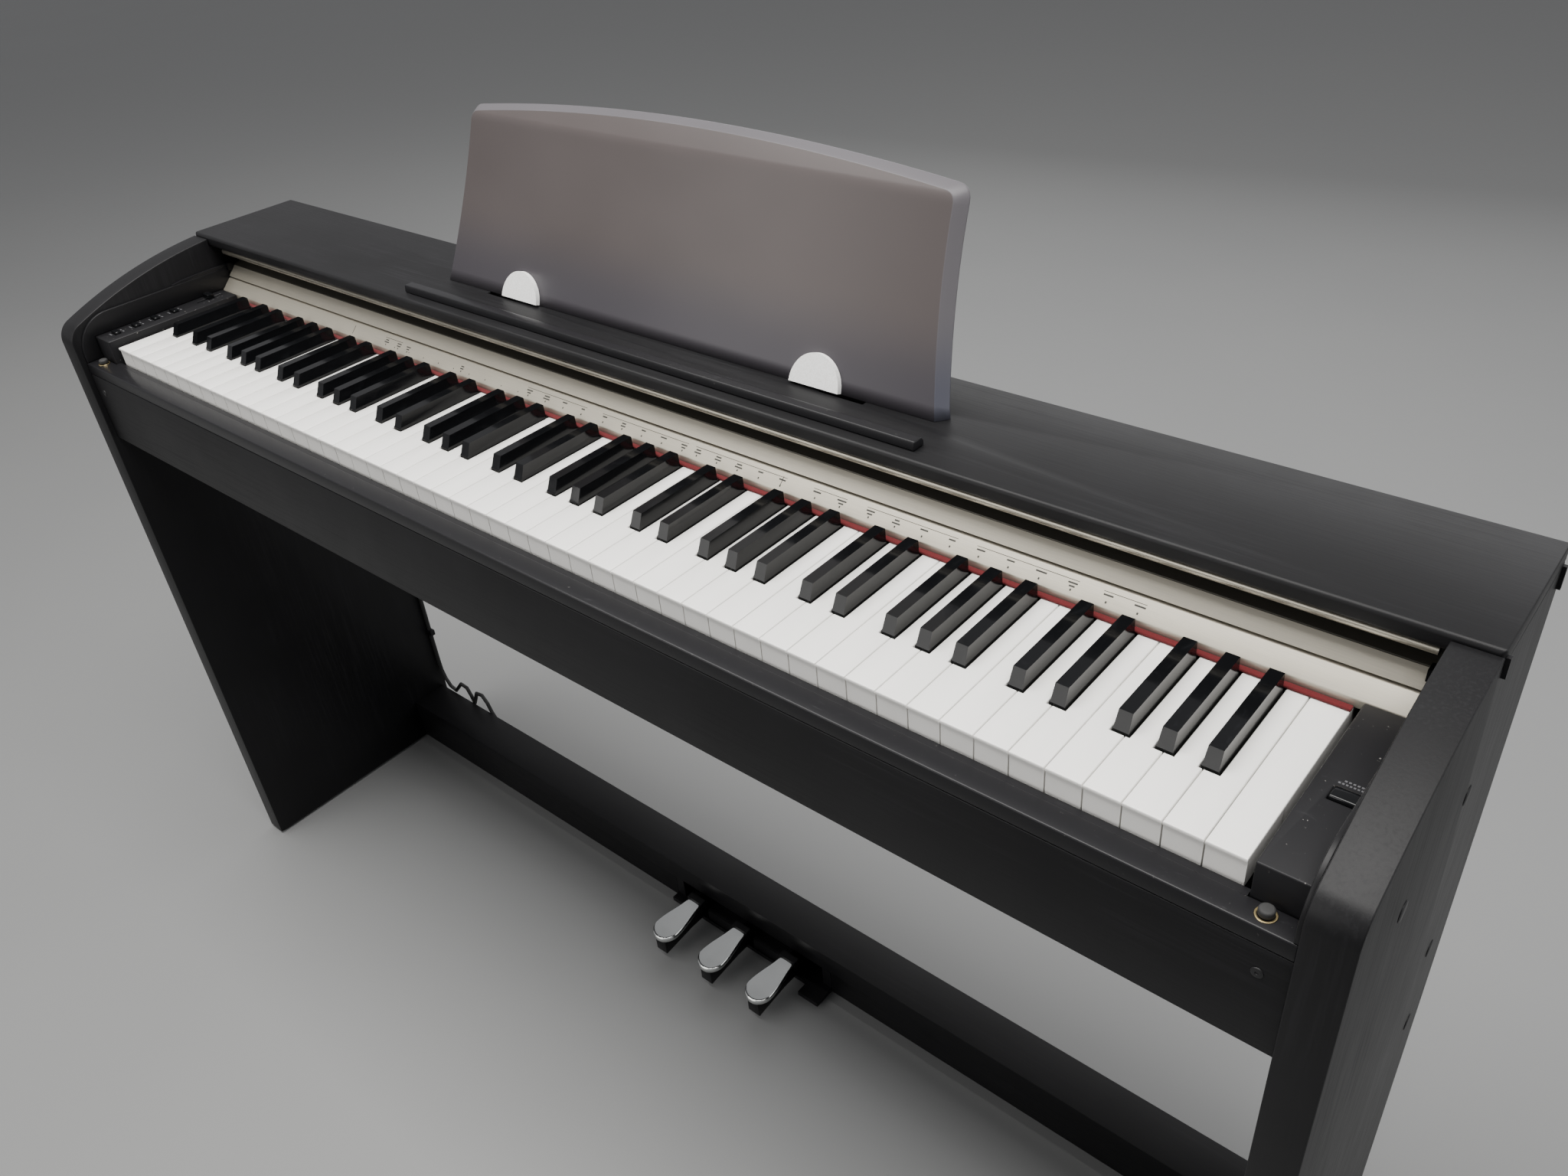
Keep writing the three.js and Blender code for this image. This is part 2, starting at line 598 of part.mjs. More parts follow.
// A black key: a sloped cap on a lever that runs under the control panel.
function blackKey3d(centre) {
  const top = keyTop + BLACK_RISE;
  const low = keyTop - BLACK_SKIRT;
  const half = blackW / 2;
  const capSide = outline([
    [blackFront, low], [blackFront, keyTop + 1], [blackFront + BLACK_FRONT_RUN, top],
    [blackRear, top], [blackRear, low],
  ]);
  const cap = prismX(capSide, centre - half, centre + half);
  const sideLean = (BLACK_W - BLACK_TOP_W) * KEY_PITCH / 2;
  const shaves = [-1, 1].map((sign) => {
    const edge = centre + sign * half;
    const wedge = outline([
      [edge + sign, keyTop], [edge, keyTop], [edge - sign * sideLean, top + TOUCH],
      [edge + sign, top + TOUCH],
    ]);
    const options = { depth: blackRear - blackFront + 2, bevelEnabled: false };
    const run = new THREE.ExtrudeGeometry(wedge, options).rotateX(Math.PI / 2);
    return run.translate(0, blackRear + 1, 0);
  });
  const leverRear = rear - BLACK_LEVER_INSET;
  const leverTop = keyTop - 1;
  const leverBottom = leverTop - BLACK_LEVER_H;
  const lever = box(centre - half, centre + half, blackFront, leverRear, leverBottom, leverTop);
  return [cut(cap, shaves), lever];
}

function addComb(name, solids, barX0, barX1, bar, material) {
  const rail = box(barX0, barX1, bar.y0, bar.y0 + COMB_BAR, bar.z0, bar.z1);
  put(name, joined([...solids, rail]), material);
}

function addKeys() {
  const hingedEnd = HINGED_FIRST + HINGED_COUNT;
  const runs = [['bass', 0, HINGED_FIRST], ['treble', hingedEnd, WHITE_COUNT]];
  const whiteBar = { y0: keyRear - COMB_BAR, z0: keyBottom, z1: keyTop - TAIL_DROP };
  const blackBar = { y0: rear - BLACK_LEVER_INSET - COMB_BAR, z0: keyTop - TAIL_DROP + 2, z1: keyTop - 1 };
  for (const [name, first, end] of runs) {
    const whites = [];
    const centres = [];
    for (let white = first; white < end; white += 1) {
      whites.push(...whiteKey3d(white));
      const centre = blackCentre(white);
      if (centre !== null && white + 1 < end) {
        centres.push(centre);
      }
    }
    const x0 = keyLeft + first * KEY_PITCH + KEY_GAP;
    const x1 = keyLeft + end * KEY_PITCH - KEY_GAP;
    addComb(`white_keys_${name}`, whites, x0, x1, whiteBar, whiteKey);
    const blacks = centres.flatMap(blackKey3d);
    const lastCentre = centres[centres.length - 1];
    addComb(`black_keys_${name}`, blacks, centres[0], lastCentre, blackBar, glossBlack);
  }
  for (let white = HINGED_FIRST; white < hingedEnd; white += 1) {
    const letter = letterOf(white).toLowerCase();
    put(`white_key_${letter}`, joined(whiteKey3d(white)), whiteKey);
    const centre = blackCentre(white);
    if (centre !== null) {
      put(`black_key_${letter}_sharp`, joined(blackKey3d(centre)), glossBlack);
    }
  }
}

// The chassis under the keys: base, front guide rail and rear fulcrum rail.
function addKeyFrame() {
  const frontY = keyFront + FRAME_RAIL;
  const rearY = keyRear + FRAME_OVERHANG;
  const fulcrumY = rearY - FULCRUM_W;
  const railY = frontY + FRAME_RAIL;
  const floorZ = frameBase + FRAME_WALL;
  const shape = outline([
    [frontY, frameBase], [rearY, frameBase], [rearY, keyBottom - TOUCH], [fulcrumY, keyBottom - TOUCH],
    [fulcrumY, floorZ], [railY, floorZ], [railY, keyBottom - KEY_DIP], [frontY, keyBottom - KEY_DIP],
  ]);
  put('key_frame', prismX(shape, keyLeft + 2, -keyLeft - 2), blackPlastic);
  const boardY = rearY + MAIN_BOARD_GAP;
  const boardTopZ = keyTop - 4;
  const circuit = box(
    -MAIN_BOARD_HALF, MAIN_BOARD_HALF, boardY, boardY + MAIN_BOARD_T, frameBase, boardTopZ,
  );
  put('main_board', circuit, boardGreen);
}

// ---- music stand ---------------------------------------------------------------------------------
// Half outline in (X, up the face): foot, waist, rounded top corner, and a crowned top edge.
function standOutline(inset) {
  const foot = STAND_HALF_FOOT - inset;
  const waist = STAND_HALF_WAIST - inset;
  const top = STAND_HALF_TOP - inset;
  const side = STAND_SIDE_H - inset;
  const middle = STAND_MID_H - inset;
  const base = -STAND_RIM;
  const corner = STAND_CORNER_R;
  const shape = new THREE.Shape();
  shape.moveTo(-foot, base);
  shape.lineTo(foot, base);
  shape.quadraticCurveTo(waist, STAND_WAIST_H, top, side - corner);
  shape.quadraticCurveTo(top, side, top - corner, side + 1);
  shape.quadraticCurveTo(0, 2 * middle - side - 1, -(top - corner), side + 1);
  shape.quadraticCurveTo(-top, side, -top, side - corner);
  shape.quadraticCurveTo(-waist, STAND_WAIST_H, -foot, base);
  return shape;
}

// The stand is drawn flat, face up, then turned; its foot is trimmed level with the board it rests on.
function addMusicStand() {
  const turn = Math.PI / 2 - lean;
  const full = prismZ(standOutline(0), -STAND_RIM, 0, 10);
  const hollow = prismZ(standOutline(STAND_T), -STAND_RIM - 1, -STAND_T, 10);
  const below = box(-halfW, halfW, -STAND_RIM * 3, STAND_RIM * 3, -STAND_RIM * 3, 0).rotateX(-turn);
  const tabs = [-TAB_X, TAB_X].map((x) => {
    return box(x - TAB_SIZE[0] / 2, x + TAB_SIZE[0] / 2, -TAB_SIZE[2], 4, -TAB_SIZE[1], 0);
  });
  const shell = solid(full).subtract(solid(hollow)).subtract(solid(below));
  const whole = surface(tabs.reduce((rest, tab) => rest.add(solid(tab)), shell));
  const stand = put('music_stand', whole, smoked);
  stand.rotation.x = turn;
  stand.position.set(0, standFootY, onBoard);
}

function addMusicLedge() {
  const y0 = boardFront + LEDGE_SETBACK;
  const y1 = y0 + LEDGE_W;
  const z0 = onBoard;
  const z1 = onBoard + LEDGE_H;
  const shape = outline([
    [y0, z0], [y1, z0], [y1, z1 - LEDGE_BEVEL], [y1 - LEDGE_BEVEL, z1], [y0 + 1, z1],
  ]);
  put('music_ledge', prismX(shape, -LEDGE_HALF, LEDGE_HALF), blackPlastic);
}

// ---- crossbar and pedals -------------------------------------------------------------------------
function addCrossbar() {
  const shape = outline([
    [barFront + BAR_STEP, BAR_BOTTOM], [barRear, BAR_BOTTOM], [barRear, barTop], [barFront, barTop],
    [barFront, barStepZ], [barFront + BAR_STEP, barStepZ],
  ]);
  const recessY = barFront + RECESS_DEPTH;
  const recess = box(-RECESS_HALF, RECESS_HALF, barFront - 1, recessY, BAR_BOTTOM - 1, barStepZ);
  put('crossbar', cut(prismX(shape, -caseHalf, caseHalf), [recess]), blackWood);
}

function addPedalUnit() {
  const half = RECESS_HALF - TOUCH;
  const rearY = barFront + RECESS_DEPTH - TOUCH;
  const plateY = barFront - UNIT_PLATE_REACH;
  const lugY = barFront - UNIT_LUG_REACH;
  const z0 = BAR_BOTTOM;
  const z1 = z0 + UNIT_PLATE_T;
  const top = barStepZ - TOUCH;
  const plate = box(-half, half, plateY, rearY, z0, z1);
  const lug = box(half - UNIT_LUG_W, half, lugY, rearY, z0, z1);
  const wall = box(-half, half, rearY - UNIT_WALL, rearY, z0, top);
  const ribHalf = (PEDAL_PITCH - ARM_W) / 2 - UNIT_RIB_GAP;
  const ribs = [-1, 1].map((sign) => {
    const x = sign * PEDAL_PITCH / 2;
    return box(x - ribHalf, x + ribHalf, barFront - UNIT_RIB_REACH, rearY, z0, z0 + UNIT_RIB_H);
  });
  const ends = [-1, 1].map((sign) => {
    const [x0, x1] = span(sign, half - UNIT_END_W, half);
    return box(x0, x1, barFront + BAR_STEP, rearY, z0, top);
  });
  put('pedal_housing', joined([plate, lug, wall, ...ribs, ...ends]), blackPlastic);
}

function pedalPlan(x) {
  const headY = pedalTipY + PEDAL_HEAD_R;
  const neckY = barFront - PEDAL_NECK_GAP;
  const shape = new THREE.Shape();
  shape.moveTo(x + PEDAL_NECK_W / 2, neckY);
  shape.lineTo(x - PEDAL_NECK_W / 2, neckY);
  shape.lineTo(x - PEDAL_HEAD_R, headY + PEDAL_SHOULDER);
  shape.absarc(x, headY, PEDAL_HEAD_R, Math.PI, 2 * Math.PI, false);
  shape.lineTo(x + PEDAL_HEAD_R, headY + PEDAL_SHOULDER);
  return shape;
}

function addPedals() {
  const plateZ = pedalTop - PEDAL_T;
  const armTop = plateZ - TOUCH;
  const armZ = BAR_BOTTOM + ARM_RISE;
  const tipY = pedalTipY + ARM_TIP_INSET;
  const rearY = barFront + ARM_TUCK;
  const side = outline([
    [tipY, BAR_BOTTOM + ARM_TIP_RISE], [barFront - ARM_BEND, armZ], [rearY, armZ], [rearY, armTop],
    [tipY, armTop],
  ]);
  ['left', 'middle', 'right'].forEach((name, index) => {
    const x = (index - 1) * PEDAL_PITCH;
    put(`pedal_${name}`, prismZ(pedalPlan(x), plateZ, pedalTop, 10), chrome);
    put(`pedal_arm_${name}`, prismX(side, x - ARM_W / 2, x + ARM_W / 2), darkMetal);
  });
}

// The pedal lead runs behind the crossbar, makes two slack loops and climbs beside the left panel.
// The loop points are (distance from the climbing run, height).
function addPedalLead() {
  const y = barRear + LEAD_D / 2 + LEAD_BAR_GAP;
  const climbX = -innerX + LEAD_D / 2 + LEAD_PANEL_GAP;
  const loops = [
    [119, 50], [106, 68], [99, 84], [88, 90.5], [77, 84], [73, 70], [69, 62], [65, 70], [61, 83],
    [50, 89.5], [39, 84], [32, 72], [22, 66], [10, 74], [1.5, 92],
  ].map(([offset, z]) => [climbX + offset, z]);
  const points = [[LEAD_START, LEAD_LOW_Z - 2]];
  for (const share of [0.2, 0.4, 0.6, 0.8, 1]) {
    points.push([LEAD_START + (loops[0][0] + 27 - LEAD_START) * share, LEAD_LOW_Z + 4 * share ** 3]);
  }
  points.push(...loops);
  const end = caseBottom - TOUCH;
  for (const share of [0, 0.2, 0.4, 0.6, 0.8, 1]) {
    points.push([climbX, LEAD_CLIMB_Z + (end - LEAD_CLIMB_Z) * share]);
  }
  const nodes = points.map(([x, z]) => new THREE.Vector3(x, y, z));
  const path = new THREE.CatmullRomCurve3(nodes, false, 'centripetal');
  const section = new THREE.Shape().absarc(0, 0, LEAD_D / 2, 0, 2 * Math.PI, false);
  const options = { steps: 80, extrudePath: path, curveSegments: 4, bevelEnabled: false };
  put('pedal_lead', new THREE.ExtrudeGeometry(section, options), wireBlack);
}

addSidePanels();
addGlides();
addTopBoard();
addCaseBoards();
addSocketPlate();
addBumpers();
addSpeakers();
addEndBlocks();
addControls();
addCheeks();
addControlPanel();
addLid();
addKeys();
addKeyFrame();
addMusicStand();
addMusicLedge();
addCrossbar();
addPedalUnit();
addPedals();
addPedalLead();

// The leaning stand reaches past the back, so the origin is set halfway across the whole depth.
const bounds = new THREE.Box3().setFromObject(group);
group.position.y = -(bounds.min.y + bounds.max.y) / 2;

export default group;
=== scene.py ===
import math
import random

import bmesh
import bpy
from mathutils import Matrix, Vector


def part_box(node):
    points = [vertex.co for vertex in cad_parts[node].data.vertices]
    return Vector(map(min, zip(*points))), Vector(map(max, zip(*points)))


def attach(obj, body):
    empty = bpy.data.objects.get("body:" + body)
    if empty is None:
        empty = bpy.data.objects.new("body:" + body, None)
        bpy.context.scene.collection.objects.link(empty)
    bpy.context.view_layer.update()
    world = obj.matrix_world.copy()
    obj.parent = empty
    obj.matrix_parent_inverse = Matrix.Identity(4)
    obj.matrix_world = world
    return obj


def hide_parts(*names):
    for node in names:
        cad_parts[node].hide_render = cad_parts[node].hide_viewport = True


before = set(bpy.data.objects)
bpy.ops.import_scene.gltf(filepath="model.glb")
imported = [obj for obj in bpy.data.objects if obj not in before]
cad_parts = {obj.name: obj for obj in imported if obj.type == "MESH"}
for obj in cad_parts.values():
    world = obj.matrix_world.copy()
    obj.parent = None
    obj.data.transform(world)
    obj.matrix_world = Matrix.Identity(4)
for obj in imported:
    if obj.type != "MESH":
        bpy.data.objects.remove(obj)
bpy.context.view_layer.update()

bl_info = {
    "name": "Console digital piano",
    "version": (1, 0, 0),
    "blender": (4, 5, 0),
    "location": "3D View > Sidebar > Piano",
    "description": "Builds the visible surfaces of a slim console digital piano",
    "category": "Add Mesh",
}

MM = 0.001
SIDES = (("left", -1), ("right", 1))

# Camera of the main view: columns are its right, up and backward directions.
CAMERA_TURN = (
    (0.76340, -0.31855, 0.56192),
    (0.64119, 0.47890, -0.59961),
    (-0.07810, 0.81803, 0.56984),
)
CAMERA_PLACE = (0.74636, -0.58844, 1.21303)
CAMERA_LENS = 28.99
SENSOR = 36.0

# Places shared by several pieces, all taken from the solids of the frame.
BOARD_LOW, BOARD_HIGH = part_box("top_board")
PANEL_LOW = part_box("control_panel")[0]
STRIP_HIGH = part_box("lid_front_strip")[1]
BLOCK_LOW, BLOCK_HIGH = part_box("end_block_right")
SLIP_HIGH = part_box("key_slip")[1]
WHITE_LOW, WHITE_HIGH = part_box("white_keys_bass")
BLACK_LOW, BLACK_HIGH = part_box("black_key_c_sharp")

# ---- keyboard layout ---------------------------------------------------------------------------
WHITE_COUNT = 52
KEY_PITCH = 23.5 * MM
KEY_LEFT = WHITE_LOW.x - 0.5 * MM
HINGED = range(23, 30)          # the octave whose keys move
BLACK_TOP_SHARE = 0.383 / 0.447  # width of a black key's top against its foot
LETTERS = "ABCDEFG"
BLACK_SHIFTS = {"C": -0.11, "D": 0.11, "F": -0.145, "G": 0.0, "A": 0.145}


# ================================ sizes and colours ================================
class PianoSizes(bpy.types.PropertyGroup):
    """Sizes that only change the finish of the pieces."""

    board_edge: bpy.props.FloatProperty(
        name="Board edge", description="Rounding along the front of the top board",
        default=3.2 * MM, unit="LENGTH")
    wood_edge: bpy.props.FloatProperty(
        name="Wood edge", description="Rounding of the other board and panel edges",
        default=0.9 * MM, unit="LENGTH")
    key_edge: bpy.props.FloatProperty(
        name="White key edge", description="Rounding of the white keys' upper edges",
        default=0.7 * MM, unit="LENGTH")
    sharp_edge: bpy.props.FloatProperty(
        name="Black key edge", description="Rounding of the black keys' edges",
        default=0.9 * MM, unit="LENGTH")
    key_gap: bpy.props.FloatProperty(
        name="Key gap", description="Gap between neighbouring white keys",
        default=0.7 * MM, unit="LENGTH")
    stand_sheet: bpy.props.FloatProperty(
        name="Music stand sheet", description="Thickness of the music stand's sheet",
        default=3.0 * MM, unit="LENGTH")


class PianoColours(bpy.types.PropertyGroup):
    """Base colours of the finishes."""

    wood: bpy.props.FloatVectorProperty(
        name="Black wood", description="Satin black of the panels and boards",
        default=(0.0058, 0.0057, 0.0064), subtype="COLOR", size=3)
    plastic: bpy.props.FloatVectorProperty(
        name="Black plastic", description="Black of the mouldings",
        default=(0.0068, 0.0067, 0.0075), subtype="COLOR", size=3)
    champagne: bpy.props.FloatVectorProperty(
        name="Champagne silver", description="Metal colour of the control panel and lid strip",
        default=(0.49, 0.457, 0.382), subtype="COLOR", size=3)
    ivory: bpy.props.FloatVectorProperty(
        name="White keys", description="Warm white of the keys",
        default=(0.84, 0.83, 0.80), subtype="COLOR", size=3)
    ebony: bpy.props.FloatVectorProperty(
        name="Black keys", description="Gloss black of the keys",
        default=(0.0035, 0.0037, 0.0042), subtype="COLOR", size=3)
    felt: bpy.props.FloatVectorProperty(
        name="Felt", description="Red of the felt behind the keys",
        default=(0.105, 0.003, 0.005), subtype="COLOR", size=3)
    smoke: bpy.props.FloatVectorProperty(
        name="Smoked sheet", description="Colour of the music stand",
        default=(0.072, 0.061, 0.060), subtype="COLOR", size=3)


# ================================ shader helpers ================================
class Signal:
    """A shader socket that takes part in arithmetic."""

    def __init__(self, finish, socket):
        self.finish = finish
        self.socket = socket

    def maths(self, operation, first, second):
        return self.finish.node("ShaderNodeMath", {"operation": operation}, {0: first, 1: second})

    def __add__(self, other):
        return self.maths("ADD", self, other)

    def __radd__(self, other):
        return self.maths("ADD", other, self)

    def __sub__(self, other):
        return self.maths("SUBTRACT", self, other)

    def __rsub__(self, other):
        return self.maths("SUBTRACT", other, self)

    def __mul__(self, other):
        return self.maths("MULTIPLY", self, other)

    def __rmul__(self, other):
        return self.maths("MULTIPLY", other, self)


class Finish:
    """A material with its node tree, written from its shader inwards."""

    def __init__(self, name, **constants):
        self.material = bpy.data.materials.new(name)
        self.material.use_nodes = True
        self.tree = self.material.node_tree
        self.tree.nodes.clear()
        self.skin = self.tree.nodes.new("ShaderNodeBsdfPrincipled")
        self.end = self.tree.nodes.new("ShaderNodeOutputMaterial")
        self.tree.links.new(self.skin.outputs[0], self.end.inputs["Surface"])
        for key, value in constants.items():
            self.skin.inputs[key.replace("_", " ")].default_value = value
        coordinates = self.tree.nodes.new("ShaderNodeTexCoord")
        self.place = Signal(self, coordinates.outputs["Object"])

    def node(self, kind, settings=None, inputs=None, output=0):
        """Adds a node: its settings are made first, then the values or links of its sockets."""
        made = self.tree.nodes.new(kind)
        for key, value in (settings or {}).items():
            setattr(made, key, value)
        for key, value in (inputs or {}).items():
            if isinstance(value, Signal):
                self.tree.links.new(value.socket, made.inputs[key])
            else:
                made.inputs[key].default_value = value
        return Signal(self, made.outputs[output])

    def feed(self, name, value):
        """Links a varying value into the shader."""
        self.tree.links.new(value.socket, self.skin.inputs[name])

    def grain(self, scale, detail=3.0, roughness=0.55, distortion=0.0):
        """Noise over the object's own coordinates, scaled differently along X, Y and Z."""
        stretched = self.node("ShaderNodeVectorMath", {"operation": "MULTIPLY"},
                              {0: self.place, 1: scale})
        return self.node("ShaderNodeTexNoise", None, {
            "Vector": stretched, "Scale": 1.0, "Detail": detail,
            "Roughness": roughness, "Distortion": distortion})

    def spread(self, value, low, high, to_low=0.0, to_high=1.0):
        """Maps a range of the value onto another, clamped."""
        return self.node("ShaderNodeMapRange", {"interpolation_type": "SMOOTHSTEP"}, {
            "Value": value, "From Min": low, "From Max": high,
            "To Min": to_low, "To Max": to_high})

    def axis(self, index):
        """One coordinate of the object."""
        return self.node("ShaderNodeSeparateXYZ", None, {0: self.place}, index)

    def mix(self, factor, first, second):
        """Mixes two colours."""
        def full(colour):
            return colour if isinstance(colour, Signal) else (*colour[:3], 1.0)
        return self.node("ShaderNodeMix", {"data_type": "RGBA"},
                         {0: factor, 6: full(first), 7: full(second)}, 2)

    def bump(self, height, strength, distance):
        """Raises the surface by a height signal."""
        normal = self.node("ShaderNodeBump", None, {
            "Height": height, "Strength": strength, "Distance": distance})
        self.feed("Normal", normal)


def shade(colour, factor):
    """A colour made darker or lighter."""
    return tuple(min(1.0, part * factor) for part in colour[:3])


FINISHES = {}


def colours():
    return bpy.context.scene.piano_colours


def sizes():
    return bpy.context.scene.piano_sizes


def wood_finish(name, scale):
    """Satin black wood: a fine open grain along one axis, worn a little along its length."""
    finish = Finish(name, Roughness=0.45, IOR=1.5, Specular_IOR_Level=0.20)
    base = colours().wood
    pores = finish.grain(scale, detail=4.0, roughness=0.6)
    broad = finish.grain((7.0, 7.0, 7.0), detail=2.0)
    line = finish.spread(pores, 0.45, 0.72)
    tone = finish.mix(line, base, shade(base, 1.7))
    finish.feed("Base Color", finish.mix(finish.spread(broad, 0.35, 0.7), tone, shade(base, 0.8)))
    smear = finish.grain((22.0, 22.0, 9.0), detail=5.0, roughness=0.65)
    finish.feed("Roughness", 0.40 + 0.10 * smear + 0.07 * line)
    finish.bump(pores, 0.16, 0.35 * MM)
    return finish.material


def plastic_finish(name, colour, rough, texture, specks=0.12):
    """Moulded plastic with a fine stipple, light scuffs and specks of dust."""
    finish = Finish(name, Roughness=rough, IOR=1.48, Specular_IOR_Level=0.22)
    stipple = finish.grain((1900.0, 1900.0, 1900.0), detail=2.0)
    scuffs = finish.spread(finish.grain((55.0, 240.0, 240.0), 6.0, 0.7, 0.6), 0.60, 0.74)
    dust = finish.spread(finish.grain((330.0, 330.0, 330.0), 2.0), 0.70, 0.78)
    wear = finish.mix(scuffs * 0.35, colour, shade(colour, 3.2))
    finish.feed("Base Color", finish.mix(dust * specks, wear, (0.30, 0.29, 0.27)))
    finish.feed("Roughness", rough - 0.06 + 0.10 * stipple + 0.12 * scuffs)
    finish.bump(stipple, texture, 0.12 * MM)
    return finish.material


def metal_finish(name, colour, rough, metallic, streak):
    """Brushed metal: very fine streaks along X."""
    finish = Finish(name, Roughness=rough, Metallic=metallic, IOR=1.5)
    lines = finish.grain(streak, 3.0, 0.6)
    cloud = finish.grain((5.0, 30.0, 30.0), 2.0)
    tone = finish.mix(finish.spread(lines, 0.3, 0.7), shade(colour, 0.93), shade(colour, 1.05))
    finish.feed("Base Color", finish.mix(0.25 * cloud, tone, shade(colour, 0.86)))
    finish.feed("Roughness", rough - 0.05 + 0.12 * lines)
    finish.bump(lines, 0.06, 0.1 * MM)
    return finish.material


def chrome_finish(name):
    """Polished chrome worn to a soft haze where shoes rub it."""
    finish = Finish(name, Metallic=1.0, Roughness=0.15)
    haze = finish.grain((34.0, 16.0, 34.0), 3.0, 0.5, 0.4)
    fine = finish.grain((900.0, 120.0, 900.0), 2.0)
    finish.feed("Base Color", finish.mix(haze, (0.60, 0.62, 0.61), (0.72, 0.73, 0.72)))
    finish.feed("Roughness", 0.12 + 0.10 * haze + 0.02 * fine)
    finish.bump(fine, 0.002, 0.05 * MM)
    return finish.material


def ivory_finish():
    """White keys: warm white, a slightly uneven gloss and faint handling marks."""
    finish = Finish("white_key_gloss", Roughness=0.3, IOR=1.48, Coat_Roughness=0.12)
    base = colours().ivory
    cloud = finish.grain((38.0, 9.0, 9.0), 3.0)
    specks = finish.spread(finish.grain((520.0, 520.0, 520.0), 2.0), 0.74, 0.80)
    tone = finish.mix(finish.spread(cloud, 0.3, 0.75), base, shade(base, 0.955))
    finish.feed("Base Color", finish.mix(specks * 0.25, tone, (0.42, 0.40, 0.36)))
    smudge = finish.grain((60.0, 34.0, 60.0), 4.0, 0.6, 0.4)
    finish.feed("Roughness", 0.24 + 0.16 * smudge)
    finish.feed("Coat Weight", 0.25 + 0.2 * smudge)
    finish.bump(finish.grain((260.0, 120.0, 260.0), 2.0), 0.02, 0.2 * MM)
    return finish.material


def gloss_finish(name, colour, haze_scale):
    """Polished black with fine finger haze."""
    finish = Finish(name, Roughness=0.12, IOR=1.45, Specular_IOR_Level=0.28, Coat_Roughness=0.03)
    haze = finish.grain(haze_scale, 5.0, 0.62, 0.7)
    finish.feed("Base Color", finish.mix(finish.spread(haze, 0.5, 0.8), colour, shade(colour, 1.9)))
    finish.feed("Roughness", 0.03 + 0.12 * haze)
    finish.feed("Coat Weight", 0.20 - 0.15 * haze)
    finish.bump(haze, 0.015, 0.3 * MM)
    return finish.material


def felt_finish():
    """Short red nap."""
    finish = Finish("red_felt_nap", Roughness=0.95, Sheen_Weight=0.08, Sheen_Roughness=0.4)
    nap = finish.grain((1500.0, 1500.0, 1500.0), 4.0, 0.7)
    base = colours().felt
    finish.feed("Base Color", finish.mix(
        finish.spread(nap, 0.3, 0.7), shade(base, 0.55), shade(base, 1.3)))
    finish.feed("Roughness", 0.85 + 0.1 * nap)
    finish.bump(nap, 0.5, 0.5 * MM)
    return finish.material


def smoked_finish(name, base):
    """Smoked sheet with painted shade: its colour darkens towards its foot, painted in for the
    black board seen through it there.
    """
    finish = Finish(name, Roughness=0.35, IOR=1.45, Specular_IOR_Level=0.35)
    height = finish.axis(2)
    # Painted shade: near the foot the colour is mixed towards a darker, bluer tone, standing for
    # the black board seen through the sheet.
    foot = 1 - finish.spread(height, BOARD_HIGH.z + 0.012, BOARD_HIGH.z + 0.075)
    cloud = finish.grain((4.0, 4.0, 7.0), 2.0)
    tone = finish.mix(finish.spread(cloud, 0.35, 0.7), base, shade(base, 0.84))
    foot_shade_colour = shade((0.85 * base[0], 0.98 * base[1], 1.25 * base[2]), 0.62)
    finish.feed("Base Color", finish.mix(foot * 0.70, tone, foot_shade_colour))
    frost = finish.grain((900.0, 900.0, 900.0), 3.0)
    finish.feed("Roughness", 0.36 + 0.10 * frost)
    finish.feed("Alpha", finish.spread(cloud, 0.0, 1.0, 0.93, 0.97))
    finish.bump(frost, 0.02, 0.2 * MM)
    return finish.material


def rubber_finish(name, colour, rough):
    """A matt or soft plain material with a fine skin."""
    finish = Finish(name, Roughness=rough, IOR=1.45)
    skin = finish.grain((700.0, 700.0, 700.0), 3.0)
    finish.feed("Base Color", finish.mix(skin, colour, shade(colour, 2.2)))
    finish.feed("Roughness", rough - 0.05 + 0.12 * skin)
    finish.bump(skin, 0.12, 0.15 * MM)
    return finish.material


def circuit_finish():
    """Green board with paler copper runs."""
    finish = Finish("circuit_resist", Roughness=0.4)
    runs = finish.spread(finish.grain((420.0, 420.0, 420.0), 1.0), 0.52, 0.56)
    finish.feed("Base Color", finish.mix(runs, (0.012, 0.085, 0.035), (0.03, 0.17, 0.06)))
    finish.feed("Roughness", 0.36 + 0.1 * runs)
    finish.bump(runs, 0.2, 0.1 * MM)
    return finish.material


def floor_finish():
    """Pale sealed floor, nearly plain."""
    finish = Finish("pale_floor", Roughness=0.5, IOR=1.45)
    cloud = finish.grain((0.9, 0.9, 0.9), 4.0)
    fine = finish.grain((60.0, 60.0, 60.0), 3.0)
    finish.feed("Base Color", finish.mix(cloud, (0.180, 0.183, 0.185), (0.212, 0.214, 0.212)))
    finish.feed("Roughness", 0.42 + 0.12 * cloud + 0.05 * fine)
    finish.bump(fine, 0.02, 0.5 * MM)
    return finish.material


